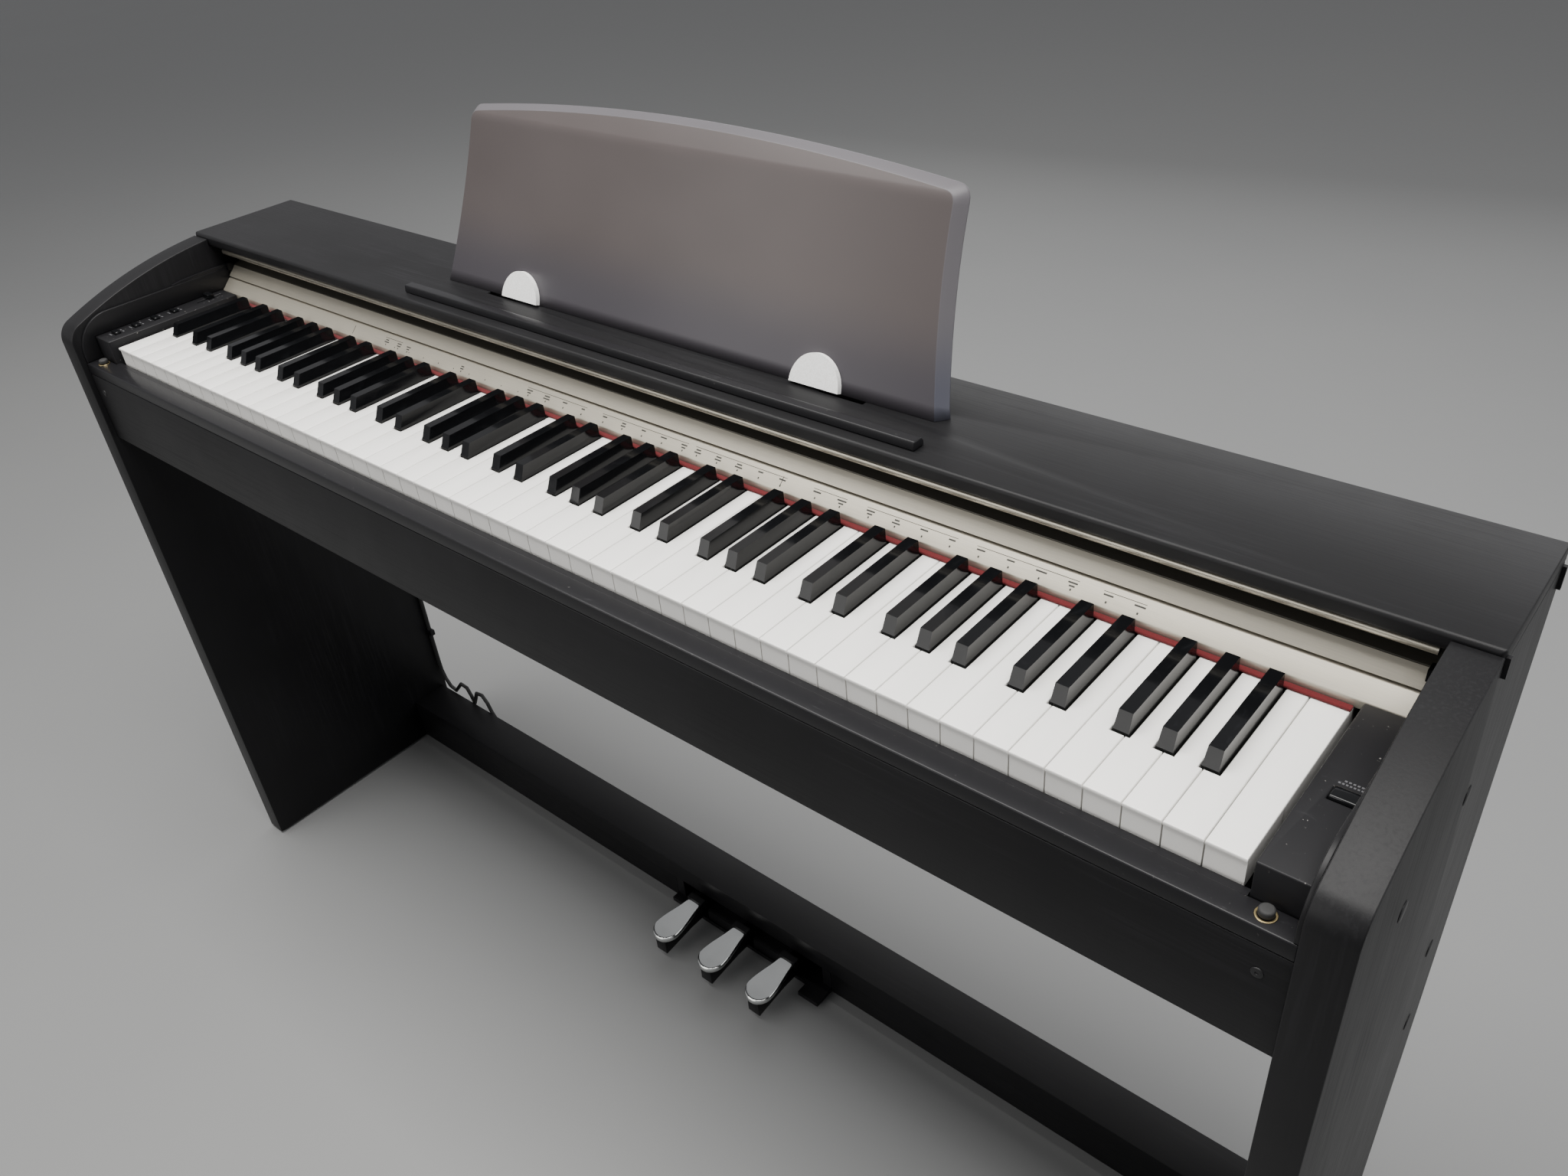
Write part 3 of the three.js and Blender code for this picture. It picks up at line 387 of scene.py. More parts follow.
def make_finishes():
    """Every finish, by the short name that the builders use."""
    tones = colours()
    FINISHES.update({
        "wood_x": wood_finish("black_wood_along", (13.0, 520.0, 520.0)),
        "wood_z": wood_finish("black_wood_upright", (520.0, 520.0, 13.0)),
        "plastic": plastic_finish("black_moulding", tones.plastic, 0.42, 0.10),
        "slip": plastic_finish("slip_moulding", shade(tones.plastic, 1.5), 0.32, 0.05),
        "champagne": metal_finish(
            "champagne_panel", tones.champagne, 0.42, 0.65, (30.0, 2600.0, 2600.0)),
        # Painted shade: the lid's leaves take the champagne darkened to 0.16, standing for the
        # shadow they lie in under the top board.
        "leaf": metal_finish(
            "lid_leaf_painted_shade", shade(tones.champagne, 0.16), 0.34, 0.6, (30.0, 1400.0, 1400.0)),
        "rod": metal_finish(
            "lid_nosing", shade(tones.champagne, 0.72), 0.28, 0.8, (40.0, 1800.0, 1800.0)),
        "brass": metal_finish("worn_brass", (0.44, 0.35, 0.18), 0.34, 1.0, (700.0, 700.0, 700.0)),
        "screw": metal_finish(
            "blackened_steel", (0.020, 0.020, 0.021), 0.50, 0.5, (900.0, 900.0, 900.0)),
        "ivory": ivory_finish(),
        "ebony": gloss_finish("black_key_gloss", tones.ebony, (170.0, 60.0, 170.0)),
        "gloss": gloss_finish("control_gloss", shade(tones.ebony, 1.2), (300.0, 300.0, 300.0)),
        "felt": felt_finish(),
        "smoke": smoked_finish("smoked_sheet", tones.smoke),
        # Painted highlight: a lighter copy of the smoked finish for the stand's bevelled border,
        # standing for the light that falls on that band.
        "smoke_lit_rim": smoked_finish("smoked_rim_painted_highlight", (0.100, 0.094, 0.102)),
        "block": plastic_finish("end_block_moulding", shade(tones.plastic, 1.35), 0.46, 0.12, 0.5),
        "chrome": chrome_finish("pedal_chrome"),
        "lever": plastic_finish("pedal_lever_black", shade(tones.plastic, 0.7), 0.4, 0.2),
        "rubber": rubber_finish("soft_rubber", (0.012, 0.012, 0.012), 0.7),
        "lead": rubber_finish("lead_sheath", (0.008, 0.008, 0.008), 0.5),
        "paper": rubber_finish("pale_clip", (0.62, 0.62, 0.59), 0.6),
        "print": rubber_finish("printed_grey", (0.022, 0.021, 0.018), 0.6),
        "print_pale": rubber_finish("printed_pale", (0.045, 0.045, 0.048), 0.6),
        "circuit": circuit_finish(),
        "floor": floor_finish(),
    })


# ================================ mesh helpers ================================
def new_piece(name, mesh, finish, body, replaces=()):
    """Makes an object, gives it a finish and fixes it to a body of the frame."""
    mesh.name = name
    piece = bpy.data.objects.new(name, mesh)
    bpy.context.scene.collection.objects.link(piece)
    mesh.materials.clear()
    mesh.materials.append(FINISHES[finish])
    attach(piece, body)
    if replaces:
        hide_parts(*replaces)
    return piece


def finish_mesh(bm, name, sharp=35.0):
    """Turns a bmesh into a smooth-shaded mesh with its hard edges kept."""
    bmesh.ops.recalc_face_normals(bm, faces=bm.faces[:])
    mesh = bpy.data.meshes.new(name)
    bm.to_mesh(mesh)
    bm.free()
    for polygon in mesh.polygons:
        polygon.use_smooth = True
    mesh.set_sharp_from_angle(angle=math.radians(sharp))
    return mesh


def round_edges(bm, width, segments, chosen=None, angle=30.0):
    """Bevels the sharp edges, or those of them that are chosen."""
    limit = math.radians(angle)
    edges = [edge for edge in bm.edges if len(edge.link_faces) == 2
             and edge.calc_face_angle(0.0) > limit and (chosen is None or chosen(edge))]
    bmesh.ops.bevel(bm, geom=edges, offset=width, segments=segments, profile=0.5,
                    affect="EDGES", clamp_overlap=True)


def solid_mesh(node):
    """The frame's solid as a bmesh with its flat facets joined."""
    bm = bmesh.new()
    bm.from_mesh(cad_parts[node].data)
    bmesh.ops.remove_doubles(bm, verts=bm.verts[:], dist=1e-6)
    bmesh.ops.dissolve_limit(bm, angle_limit=math.radians(0.6), verts=bm.verts[:],
                             edges=bm.edges[:])
    return bm


def soften(node, finish, body, width, segments=3, rounder=None, round_width=0.0):
    """Replaces a solid by a copy with rounded edges; chosen edges can be rounder than the rest."""
    bm = solid_mesh(node)
    if rounder is not None:
        round_edges(bm, round_width, 5, rounder)
    round_edges(bm, width, segments)
    return new_piece(node + "_shell", finish_mesh(bm, node), finish, body, (node,))


def extrude_outline(bm, points, z0, z1):
    """A prism from an outline in X and Y."""
    low = [bm.verts.new((x, y, z0)) for x, y in points]
    high = [bm.verts.new((x, y, z1)) for x, y in points]
    bm.faces.new(low[::-1])
    bm.faces.new(high)
    bridge(bm, low, high)


def bridge(bm, one, two):
    """Faces between two closed rings of the same length."""
    for index in range(len(one)):
        after = (index + 1) % len(one)
        bm.faces.new((one[index], one[after], two[after], two[index]))


def bar_along_x(bm, profile, x0, x1):
    """A prism from a profile in Y and Z."""
    near = [bm.verts.new((x0, y, z)) for y, z in profile]
    far = [bm.verts.new((x1, y, z)) for y, z in profile]
    bm.faces.new(near)
    bm.faces.new(far[::-1])
    count = len(profile)
    for index in range(count):
        after = (index + 1) % count
        bm.faces.new((near[after], near[index], far[index], far[after]))


def add_block(bm, low, high):
    """A box between two corners."""
    plan = [(low[0], low[1]), (high[0], low[1]), (high[0], high[1]), (low[0], high[1])]
    extrude_outline(bm, plan, low[2], high[2])


def lathe(bm, profile, place, axis=(0, 0, 1), segments=32):
    """Turns a profile of (radius, height) about an axis through a place."""
    turn = Vector((0, 0, 1)).rotation_difference(Vector(axis)).to_matrix()
    rings = []
    for radius, height in profile:
        if radius < 1e-7:
            rings.append([bm.verts.new(Vector(place) + turn @ Vector((0, 0, height)))])
            continue
        ring = []
        for step in range(segments):
            angle = 2 * math.pi * step / segments
            point = Vector((radius * math.cos(angle), radius * math.sin(angle), height))
            ring.append(bm.verts.new(Vector(place) + turn @ point))
        rings.append(ring)
    for one, two in zip(rings, rings[1:]):
        for step in range(segments):
            after = (step + 1) % segments
            corners = [one[step % len(one)], one[after % len(one)],
                       two[after % len(two)], two[step % len(two)]]
            unique = list(dict.fromkeys(corners))
            if len(unique) > 2:
                bm.faces.new(unique)


# ================================ case and stand ================================
def build_case():
    """Panels, boards and mouldings, and the finishes of the solids kept as they are."""
    edge = sizes().wood_edge
    for side, _ in SIDES:
        soften(f"side_panel_{side}", "wood_z", "base", edge)
        soften(f"cheek_{side}", "plastic", "base", 0.7 * MM)
        soften(f"end_block_{side}", "block", "base", 1.0 * MM)
        soften(f"lid_bumper_{side}", "rubber", "base", 1.4 * MM)
        soften(f"glide_front_{side}", "rubber", "base", 0.8 * MM)
        soften(f"glide_rear_{side}", "rubber", "base", 0.8 * MM)
        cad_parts[f"speaker_{side}"].data.materials[0] = FINISHES["lever"]

    def board_front(edge_found):
        return all(vert.co.y < BOARD_LOW.y + 1e-5 for vert in edge_found.verts)
    soften("top_board", "wood_x", "base", edge, 3, board_front, sizes().board_edge)
    soften("front_apron", "wood_x", "base", edge)
    soften("crossbar", "wood_x", "base", edge)
    soften("back_panel", "wood_x", "base", 0.5 * MM)
    soften("bottom_board", "wood_x", "base", 0.5 * MM)
    soften("key_slip", "slip", "base", 1.3 * MM)
    bm = bmesh.new()
    near, far, top = SLIP_HIGH.y - 1.5 * MM, WHITE_LOW.y - 1.3 * MM, SLIP_HIGH.z
    section = [(near, top - 5 * MM), (far, top - 5 * MM),
               (far, top - 0.9 * MM), (near, top - 0.5 * MM)]
    bar_along_x(bm, section, -BLOCK_LOW.x + 0.6 * MM, BLOCK_LOW.x - 0.6 * MM)
    round_edges(bm, 0.5 * MM, 2)
    new_piece("key_slip_lip", finish_mesh(bm, "lip"), "slip", "base")
    soften("socket_plate", "plastic", "base", 0.5 * MM)
    for node in ("key_frame", "pedal_housing"):
        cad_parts[node].data.materials[0] = FINISHES["plastic"]
    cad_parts["main_board"].data.materials[0] = FINISHES["circuit"]
    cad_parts["pedal_lead"].data.materials[0] = FINISHES["lead"]


def build_fixings():
    """Screw caps, screws, brass rings, the rails' worn ends and the lead's clips."""
    caps = ((43, 670), (-66, 673), (98, 481), (107, 390), (113, 45))
    for side, sign in SIDES:
        bm = bmesh.new()
        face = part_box(f"side_panel_{side}")[0 if sign < 0 else 1].x
        for y, z in caps:
            place = (face - sign * 0.4 * MM, y * MM, z * MM)
            profile = [(0, 0), (6.6 * MM, 0), (6.6 * MM, 0.7 * MM), (6.1 * MM, 1.1 * MM),
                       (3.0 * MM, 1.35 * MM), (0, 1.4 * MM)]
            lathe(bm, profile, place, (sign, 0, 0))
        new_piece(f"screw_caps_{side}", finish_mesh(bm, "caps"), "plastic", "base")

        bm = bmesh.new()
        low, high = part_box(f"lid_bumper_{side}")
        middle = (low + high) / 2
        inner, outer = (high.x - low.x) / 2 + 0.2 * MM, (high.x - low.x) / 2 + 1.5 * MM
        ring = [(inner, 0), (outer - 0.2 * MM, 0), (outer, 0.2 * MM), (outer - 0.2 * MM, 0.5 * MM),
                (outer - 0.6 * MM, 0.6 * MM), (inner, 0.45 * MM), (inner, 0)]
        lathe(bm, ring, (middle.x, middle.y, SLIP_HIGH.z), segments=40)
        new_piece(f"bumper_ring_{side}", finish_mesh(bm, "ring"), "brass", "base")

        bm = bmesh.new()
        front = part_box("front_apron")[0].y
        screw = [(0, 0), (3.6 * MM, 0), (3.4 * MM, 0.5 * MM), (2.2 * MM, 0.8 * MM),
                 (1.1 * MM, 0.75 * MM), (0.8 * MM, 0.3 * MM), (0, 0.3 * MM)]
        lathe(bm, screw, (sign * 0.632, front, 0.671), (0, -1, 0), 24)
        new_piece(f"apron_screw_{side}", finish_mesh(bm, "screw"), "screw", "base")

        bm = bmesh.new()
        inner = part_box(f"side_panel_{side}")[1 if sign < 0 else 0].x
        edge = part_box(f"cheek_{side}")[1].z / MM
        length = [(-31, 0.0), (-20, 1.4), (0, 2.2), (22, 2.4), (34, 2.0), (38, 0.6)]
        outline = [(y, edge + 0.2) for y, h in length]
        outline += [(y, edge + 1.0 + h) for y, h in reversed(length)]
        profile = [(y * MM, z * MM) for y, z in outline]
        x0, x1 = sorted((inner, inner - sign * 3.3 * MM))
        bar_along_x(bm, profile, x0, x1)
        round_edges(bm, 0.7 * MM, 2)
        new_piece(f"lid_rail_end_{side}", finish_mesh(bm, "rail"), "slip", "base")

        bm = bmesh.new()
        end, under = sign * BOARD_HIGH.x, BOARD_LOW.z
        x0, x1 = sorted((end - sign * 1.5 * MM, end + sign * 2.4 * MM))
        add_block(bm, (x0, BOARD_LOW.y + 2.0 * MM, under - 6.5 * MM),
                  (x1, BOARD_LOW.y + 5.2 * MM, under + 7 * MM))
        add_block(bm, (x0, BOARD_HIGH.y - 6 * MM, under - 17 * MM),
                  (x1, BOARD_HIGH.y - 3 * MM, under - 1 * MM))
        round_edges(bm, 0.6 * MM, 2)
        new_piece(f"board_hooks_{side}", finish_mesh(bm, "hooks"), "plastic", "base")

    bm = bmesh.new()
    low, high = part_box("crossbar")
    for x in (-0.36, -0.20, -0.49):
        add_block(bm, (x - 4 * MM, high.y, 26 * MM), (x + 4 * MM, high.y + 6.6 * MM, 39 * MM))
    for z in (0.16, 0.34, 0.52):
        add_block(bm, (-0.649, high.y + 0.2 * MM, z), (-0.6395, high.y + 6.8 * MM, z + 8 * MM))
    round_edges(bm, 1.2 * MM, 3)
    new_piece("lead_clips", finish_mesh(bm, "clips"), "plastic", "base")


# ================================ keyboard ================================
def letter(white):
    return LETTERS[white % 7]


def black_centre(white):
    """Centre of the black key after this white key, or None."""
    shift = BLACK_SHIFTS.get(letter(white))
    if shift is None or white >= WHITE_COUNT - 1:
        return None
    return KEY_LEFT + (white + 1 + shift) * KEY_PITCH


def add_white_key(bm, white):
    """One key: rounded along its top, its front face set under a thin lip."""
    gap = sizes().key_gap / 2
    x0 = KEY_LEFT + white * KEY_PITCH + gap
    x1 = KEY_LEFT + (white + 1) * KEY_PITCH - gap
    room = 0.5 * (BLACK_HIGH.x - BLACK_LOW.x) + 1.2 * MM
    before = black_centre(white - 1) if white > 0 else None
    after = black_centre(white)
    tail0 = x0 if before is None else before + room
    tail1 = x1 if after is None else after - room
    front = WHITE_LOW.y
    notch = BLACK_LOW.y - 1.2 * MM
    rear = PANEL_LOW.y + 6.5 * MM
    plan = [(x0, front), (x1, front), (x1, notch), (tail1, notch), (tail1, rear),
            (tail0, rear), (tail0, notch), (x0, notch)]
    tidy = [point for index, point in enumerate(plan) if point != plan[index - 1]]
    top, lip = WHITE_HIGH.z, WHITE_HIGH.z - 2.8 * MM
    plate = bmesh.new()
    extrude_outline(plate, tidy, lip, top)
    bmesh.ops.dissolve_limit(plate, angle_limit=0.01, verts=plate.verts[:], edges=plate.edges[:])
    round_edges(plate, sizes().key_edge, 3,
                lambda edge: all(vert.co.z > top - 1e-5 for vert in edge.verts))
    round_edges(plate, 0.45 * MM, 2, lambda edge: all(
        vert.co.z < lip + 1e-5 and vert.co.y < front + 1e-5 for vert in edge.verts))
    merge_into(bm, plate)
    body = bmesh.new()
    inner = 0.15 * MM
    extrude_outline(body, [(x0 + inner, front + 1.1 * MM), (x1 - inner, front + 1.1 * MM),
                           (x1 - inner, notch - 1 * MM), (x0 + inner, notch - 1 * MM)],
                    WHITE_LOW.z, lip + 0.4 * MM)
    round_edges(body, 0.5 * MM, 2,
                lambda edge: abs(edge.verts[0].co.z - edge.verts[1].co.z) > 10 * MM)
    merge_into(bm, body)
    tail = bmesh.new()
    extrude_outline(tail, [(tail0 + inner, notch - 2 * MM), (tail1 - inner, notch - 2 * MM),
                           (tail1 - inner, rear), (tail0 + inner, rear)],
                    WHITE_LOW.z + 4 * MM, lip + 0.2 * MM)
    merge_into(bm, tail)


def merge_into(bm, other):
    """Adds one bmesh to another."""
    scratch = bpy.data.meshes.new("scratch")
    other.to_mesh(scratch)
    other.free()
    bm.from_mesh(scratch)
    bpy.data.meshes.remove(scratch)


def add_black_key(bm, centre):
    """One raised key: sides and front lean in, every upper edge rounded, a small flared foot."""
    half = 0.5 * (BLACK_HIGH.x - BLACK_LOW.x)
    top_half = half * BLACK_TOP_SHARE
    front, rear = BLACK_LOW.y, PANEL_LOW.y - 6 * MM
    low, foot, top = WHITE_HIGH.z - 5.5 * MM, WHITE_HIGH.z + 0.8 * MM, BLACK_HIGH.z
    rows = (
        (low, half, front, rear),
        (foot, half, front, rear),
        (foot + 1.4 * MM, half - 0.45 * MM, front + 1.0 * MM, rear),
        (top, top_half, front + 5.2 * MM, rear),
    )
    key = bmesh.new()
    rings = [[key.verts.new((centre + side * wide, y, z)) for side, y in
              ((-1, near), (1, near), (1, far), (-1, far))] for z, wide, near, far in rows]
    key.faces.new(rings[0][::-1])
    key.faces.new(rings[-1])
    for one, two in zip(rings, rings[1:]):
        bridge(key, one, two)
    limit = foot + 1.0 * MM
    round_edges(key, sizes().sharp_edge, 4,
                lambda edge: all(vert.co.z > limit for vert in edge.verts)
                and not all(vert.co.y > rear - 1e-5 for vert in edge.verts))
    merge_into(bm, key)


def build_keys():
    """The fixed sets at both ends, then the octave whose keys move, then the felt."""
    runs = {"bass": range(0, HINGED[0]), "treble": range(HINGED[-1] + 1, WHITE_COUNT)}
    for name, run in runs.items():
        bm = bmesh.new()
        for white in run:
            add_white_key(bm, white)
        new_piece(f"white_keys_{name}_set", finish_mesh(bm, "whites"), "ivory", "base",
                  (f"white_keys_{name}",))
        bm = bmesh.new()
        for white in run:
            centre = black_centre(white)
            if centre is not None and white + 1 in run:
                add_black_key(bm, centre)
        new_piece(f"black_keys_{name}_set", finish_mesh(bm, "blacks"), "ebony", "base",
                  (f"black_keys_{name}",))
    for white in HINGED:
        name = letter(white).lower()
        bm = bmesh.new()
        add_white_key(bm, white)
        node = f"white_key_{name}"
        new_piece(node + "_cap", finish_mesh(bm, node), "ivory", node, (node,))
        centre = black_centre(white)
        if centre is not None:
            bm = bmesh.new()
            add_black_key(bm, centre)
            node = f"black_key_{name}_sharp"
            new_piece(node + "_cap", finish_mesh(bm, node), "ebony", node,
                      (node,))
    soften("key_felt", "felt", "base", 0.7 * MM, 3)


# ================================ controls, panel and lid ================================
def face_point(x, along, lift=0.0):
    """A point on the control panel's sloping face: along it from its lower edge, and off it."""
    run = Vector((0, 11.0, 10.5)).normalized()
    out = Vector((0, -10.5, 11.0)).normalized()
    start = Vector((x, PANEL_LOW.y, PANEL_LOW.z + 6 * MM))
    return start + run * along + out * lift


def add_mark(bm, x, along, width, height, skew=0.0):
    """A printed bar on the sloping face, a hair proud of it."""
    corners = [(x - width / 2, along), (x + width / 2, along),
               (x + width / 2 + skew, along + height), (x - width / 2 + skew, along + height)]
    low = [bm.verts.new(face_point(px, a, -0.05 * MM)) for px, a in corners]
    high = [bm.verts.new(face_point(px, a, 0.10 * MM)) for px, a in corners]
    bm.faces.new(low[::-1])
    bm.faces.new(high)
    bridge(bm, low, high)


def build_marks():
    """Plain bars and ticks in place of printed words."""
    rng = random.Random(7)
    bm = bmesh.new()
    groups = (
        (-0.335, 2, 0.020), (-0.300, 1, 0.0), (-0.215, 1, 0.0), (-0.118, 4, 0.0235),
        (-0.020, 5, 0.0235), (0.090, 5, 0.022), (0.212, 2, 0.0235), (0.262, 4, 0.0235),
        (0.356, 4, 0.0235), (0.452, 2, 0.022),
    )
    for start, count, step in groups:
        for index in range(count):
            x = start + index * step
            for row in range(2 if rng.random() < 0.55 else 1):
                wide = rng.uniform(4.0, 8.5) * MM
                add_mark(bm, x, (8.2 - row * 2.3) * MM, wide, 1.15 * MM)
            add_mark(bm, x, 3.2 * MM, 1.2 * MM, 1.5 * MM)
        if count > 1:
            span = step * (count - 1)
            add_mark(bm, start + span / 2, 10.8 * MM, span + 8 * MM, 0.4 * MM)
    for x in (-0.392, 0.178):
        add_mark(bm, x, 3.0 * MM, 0.55 * MM, 8.8 * MM)
    for index in range(9):
        add_mark(bm, -0.32 + index * 0.0235, 3.4 * MM, 0.9 * MM, 1.2 * MM)
    new_piece("panel_marks", finish_mesh(bm, "marks"), "print", "base")

    bm = bmesh.new()
    top = BLOCK_HIGH.z

    def flat_mark(x, y, wide, deep):
        add_block(bm, (x - wide / 2, y - deep / 2, top - 0.05 * MM),
                  (x + wide / 2, y + deep / 2, top + 0.10 * MM))
    power_low, power_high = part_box("power_button")
    middle = (power_low + power_high) / 2
    for row, wide in ((10.0, 11.0), (7.4, 16.0)):
        count = 5 if row > 9 else 8
        for index in range(count):
            offset = (index - (count - 1) / 2) * wide / count * MM
            flat_mark(middle.x + offset, power_high.y + row * MM - 3 * MM,
                      wide / count * 0.62 * MM, 1.3 * MM)
    for number in range(1, 5):
        low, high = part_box(f"function_button_{number}")
        centre = (low + high) / 2
        flat_mark(centre.x - 3 * MM, high.y + 3.4 * MM, 3.4 * MM, 1.5 * MM)
        flat_mark(centre.x + 3 * MM, high.y + 3.4 * MM, 3.4 * MM, 1.5 * MM)
        flat_mark(centre.x, low.y - 3.2 * MM, 6.5 * MM, 1.1 * MM)
    slider_low, slider_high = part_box("volume_slider")
    centre = (slider_low + slider_high) / 2
    for index in range(-2, 3):
        flat_mark(centre.x + 8.6 * MM, centre.y + index * 5.5 * MM, 2.2 * MM, 0.5 * MM)
    new_piece("block_marks", finish_mesh(bm, "block_marks"), "print_pale", "base")


def build_controls():
    """Buttons, slider and the sloping panel."""
    soften("power_button", "gloss", "power_button", 1.3 * MM, 4)
    for number in range(1, 5):
        name = f"function_button_{number}"
        soften(name, "gloss", name, 0.9 * MM, 3)
    soften("volume_slider", "gloss", "volume_slider", 0.8 * MM, 3)
    soften("control_panel", "champagne", "base", 0.6 * MM, 3)


def build_lid():
    """The strip and leaves, the second leaf's nosing and the end pegs."""
    soften("lid_front_strip", "champagne", "lid_front", 0.9 * MM, 3)
    # Both leaves get the darkened champagne: painted shade for the shadow under the top board.
    soften("lid_front_leaf", "leaf", "lid_front", 0.5 * MM, 2)
    soften("lid_rear_leaf", "leaf", "lid_rear", 0.5 * MM, 2)
    low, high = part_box("lid_rear_leaf")
    bm = bmesh.new()
    middle = low.z + 4.0 * MM
    arc = [(low.y + 0.1 * MM - 3.0 * MM * math.cos(t), middle + 3.1 * MM * math.sin(t))
           for t in (math.radians(-90 + 180 * step / 12) for step in range(13))]
    bar_along_x(bm, arc, low.x, high.x)
    new_piece("lid_nosing_rod", finish_mesh(bm, "rod", 50.0), "rod", "lid_rear")
    for side, sign in SIDES:
        x0, x1 = sorted((sign * (STRIP_HIGH.x - 2.6 * MM), sign * (STRIP_HIGH.x + 1.5 * MM)))
        bm = bmesh.new()
        add_block(bm, (x0, STRIP_HIGH.y - 8.5 * MM, STRIP_HIGH.z - 4.5 * MM),
                  (x1, STRIP_HIGH.y - 0.5 * MM, STRIP_HIGH.z + 3.6 * MM))
        round_edges(bm, 1.2 * MM, 3)
        new_piece(f"lid_end_peg_{side}", finish_mesh(bm, "peg"), "gloss", "lid_front")


# ================================ music stand ================================
LEAN = math.radians(20.0)
STAND_SETBACK = 55 * MM
REST_X = 0.1735


def stand_point(x, up, back):
    """A point on the leaning stand: across, up its face, and behind it."""
    origin = Vector((0, BOARD_LOW.y + STAND_SETBACK, BOARD_HIGH.z + 0.3 * MM))
    rise = Vector((0, math.sin(LEAN), math.cos(LEAN)))
    inward = Vector((0, math.cos(LEAN), -math.sin(LEAN)))
    return origin + Vector((x, 0, 0)) + rise * up + inward * back


def stand_outline(foot, waist, top, side, middle, corner, base, steps=14):
    """Right half of an outline in (across, up), from the foot to the middle of the top."""
    def bend(start, control, end, count):
        return [tuple(start[k] * (1 - t) ** 2 + 2 * control[k] * t * (1 - t) + end[k] * t * t
                      for k in (0, 1)) for t in (i / count for i in range(count + 1))]
    flank = bend((foot, base), (waist, 78), (top, side - corner), steps)
    turn = bend((top, side - corner), (top, side + 0.5), (top - corner, side + 1.2), 6)[1:]
    crown = bend((top - corner, side + 1.2), ((top - corner) * 0.5, middle), (0, middle), steps)[1:]
    return [(x * MM, up * MM) for x, up in flank + turn + crown]


def build_stand():
    """One formed sheet: a flat front, a bevelled border turned back all round, open at the rear."""
    rings = (
        (stand_outline(289.4, 272.6, 271.8, 162.6, 178.2, 12, 0), 9.7),
        (stand_outline(289.4, 272.6, 271.8, 162.6, 178.2, 12, 0), 8.9),
        (stand_outline(289.0, 272.2, 271.4, 162.2, 177.8, 12, 0), 8.2),
        (stand_outline(282.6, 266.0, 265.0, 156.6, 172.4, 9, 0), 0.5),
        (stand_outline(282.0, 265.4, 264.4, 156.1, 171.9, 9, 0), 0.0),
    )
    foot_slope = math.tan(LEAN)
    bm = bmesh.new()
    loops = []
    for half, back in rings:
        mirrored = [(-x, up) for x, up in reversed(half[:-1])]
        loop = []
        for x, up in half + mirrored:
            rise = max(up, back * MM * foot_slope)
            loop.append(bm.verts.new(stand_point(x, rise, back * MM)))
        loops.append(loop)
    for one, two in zip(loops, loops[1:]):
        for index in range(len(one) - 1):
            bm.faces.new((one[index], one[index + 1], two[index + 1], two[index]))
    inner = loops[-1]
    count = len(inner)
    for index in range(count // 2):
        pair = (inner[index], inner[index + 1], inner[count - 2 - index], inner[count - 1 - index])
        unique = list(dict.fromkeys(pair))
        if len(unique) > 2:
            bm.faces.new(unique)
    bmesh.ops.recalc_face_normals(bm, faces=bm.faces[:])
    mesh = finish_mesh(bm, "stand", 50.0)
    front = sum(((polygon.normal.y * polygon.area) for polygon in mesh.polygons), 0.0)
    if front > 0:
        mesh.flip_normals()
    piece = new_piece("music_stand_sheet", mesh, "smoke", "music_stand",
                      ("music_stand",))
    # Painted highlight: every face off the flat front, which is the bevelled border, takes the
    # lighter rim copy of the smoked finish.
    mesh.materials.append(FINISHES["smoke_lit_rim"])
    plane = Vector((0, math.cos(LEAN), -math.sin(LEAN)))
    for polygon in mesh.polygons:
        polygon.material_index = 0 if abs(polygon.normal.dot(plane)) > 0.95 else 1
    wall = piece.modifiers.new("wall", "SOLIDIFY")
    wall.thickness = sizes().stand_sheet
    wall.offset = -1.0
    wall.use_even_offset = True

    bm = bmesh.new()
    for x in (-REST_X, REST_X):
        outline = [(x + 24 * MM * math.cos(t), 26 * MM * math.sin(t))
                   for t in (math.pi * step / 28 for step in range(29))]
        near = [bm.verts.new(stand_point(px, up + 0.4 * MM, -4.8 * MM)) for px, up in outline]
        far = [bm.verts.new(stand_point(px, up + 0.4 * MM, -0.2 * MM)) for px, up in outline]
        bm.faces.new(near)
        bm.faces.new(far[::-1])
        for index in range(len(outline)):
            after = (index + 1) % len(outline)
            bm.faces.new((near[after], near[index], far[index], far[after]))
    round_edges(bm, 0.7 * MM, 2, angle=60)
    new_piece("page_rests", finish_mesh(bm, "rests"), "paper", "music_stand")
    soften("music_ledge", "slip", "base", 0.9 * MM, 3)


# ================================ pedals ================================
def pedal_ring(low, high, inset, z):
    """Plan of a pedal, drawn in by an inset: a round head tapering to a straight neck."""
    middle = (low.x + high.x) / 2
    head = (high.x - low.x) / 2 - inset
    neck = 10.0 * MM - inset * 0.8
    head_y = low.y + (high.x - low.x) / 2
    neck_y = high.y - inset
    points = []
    for step in range(25):
        angle = math.pi + math.pi * step / 24
        points.append((middle + head * math.cos(angle), head_y + head * math.sin(angle)))
    for step in range(1, 9):
        t = step / 8
        ease = t * t * (3 - 2 * t)
        points.append((middle + head + (neck - head) * ease, head_y + (neck_y - head_y) * t))
    for step in range(8, 0, -1):
        t = step / 8
        ease = t * t * (3 - 2 * t)
        points.append((middle - head - (neck - head) * ease, head_y + (neck_y - head_y) * t))
    ring = []
    for x, y in points:
        reach = max(0.0, (head_y + 2 * MM - y) / (16.5 * MM))
        ring.append(Vector((x, y, z - 1.4 * MM * reach ** 2)))
    return ring


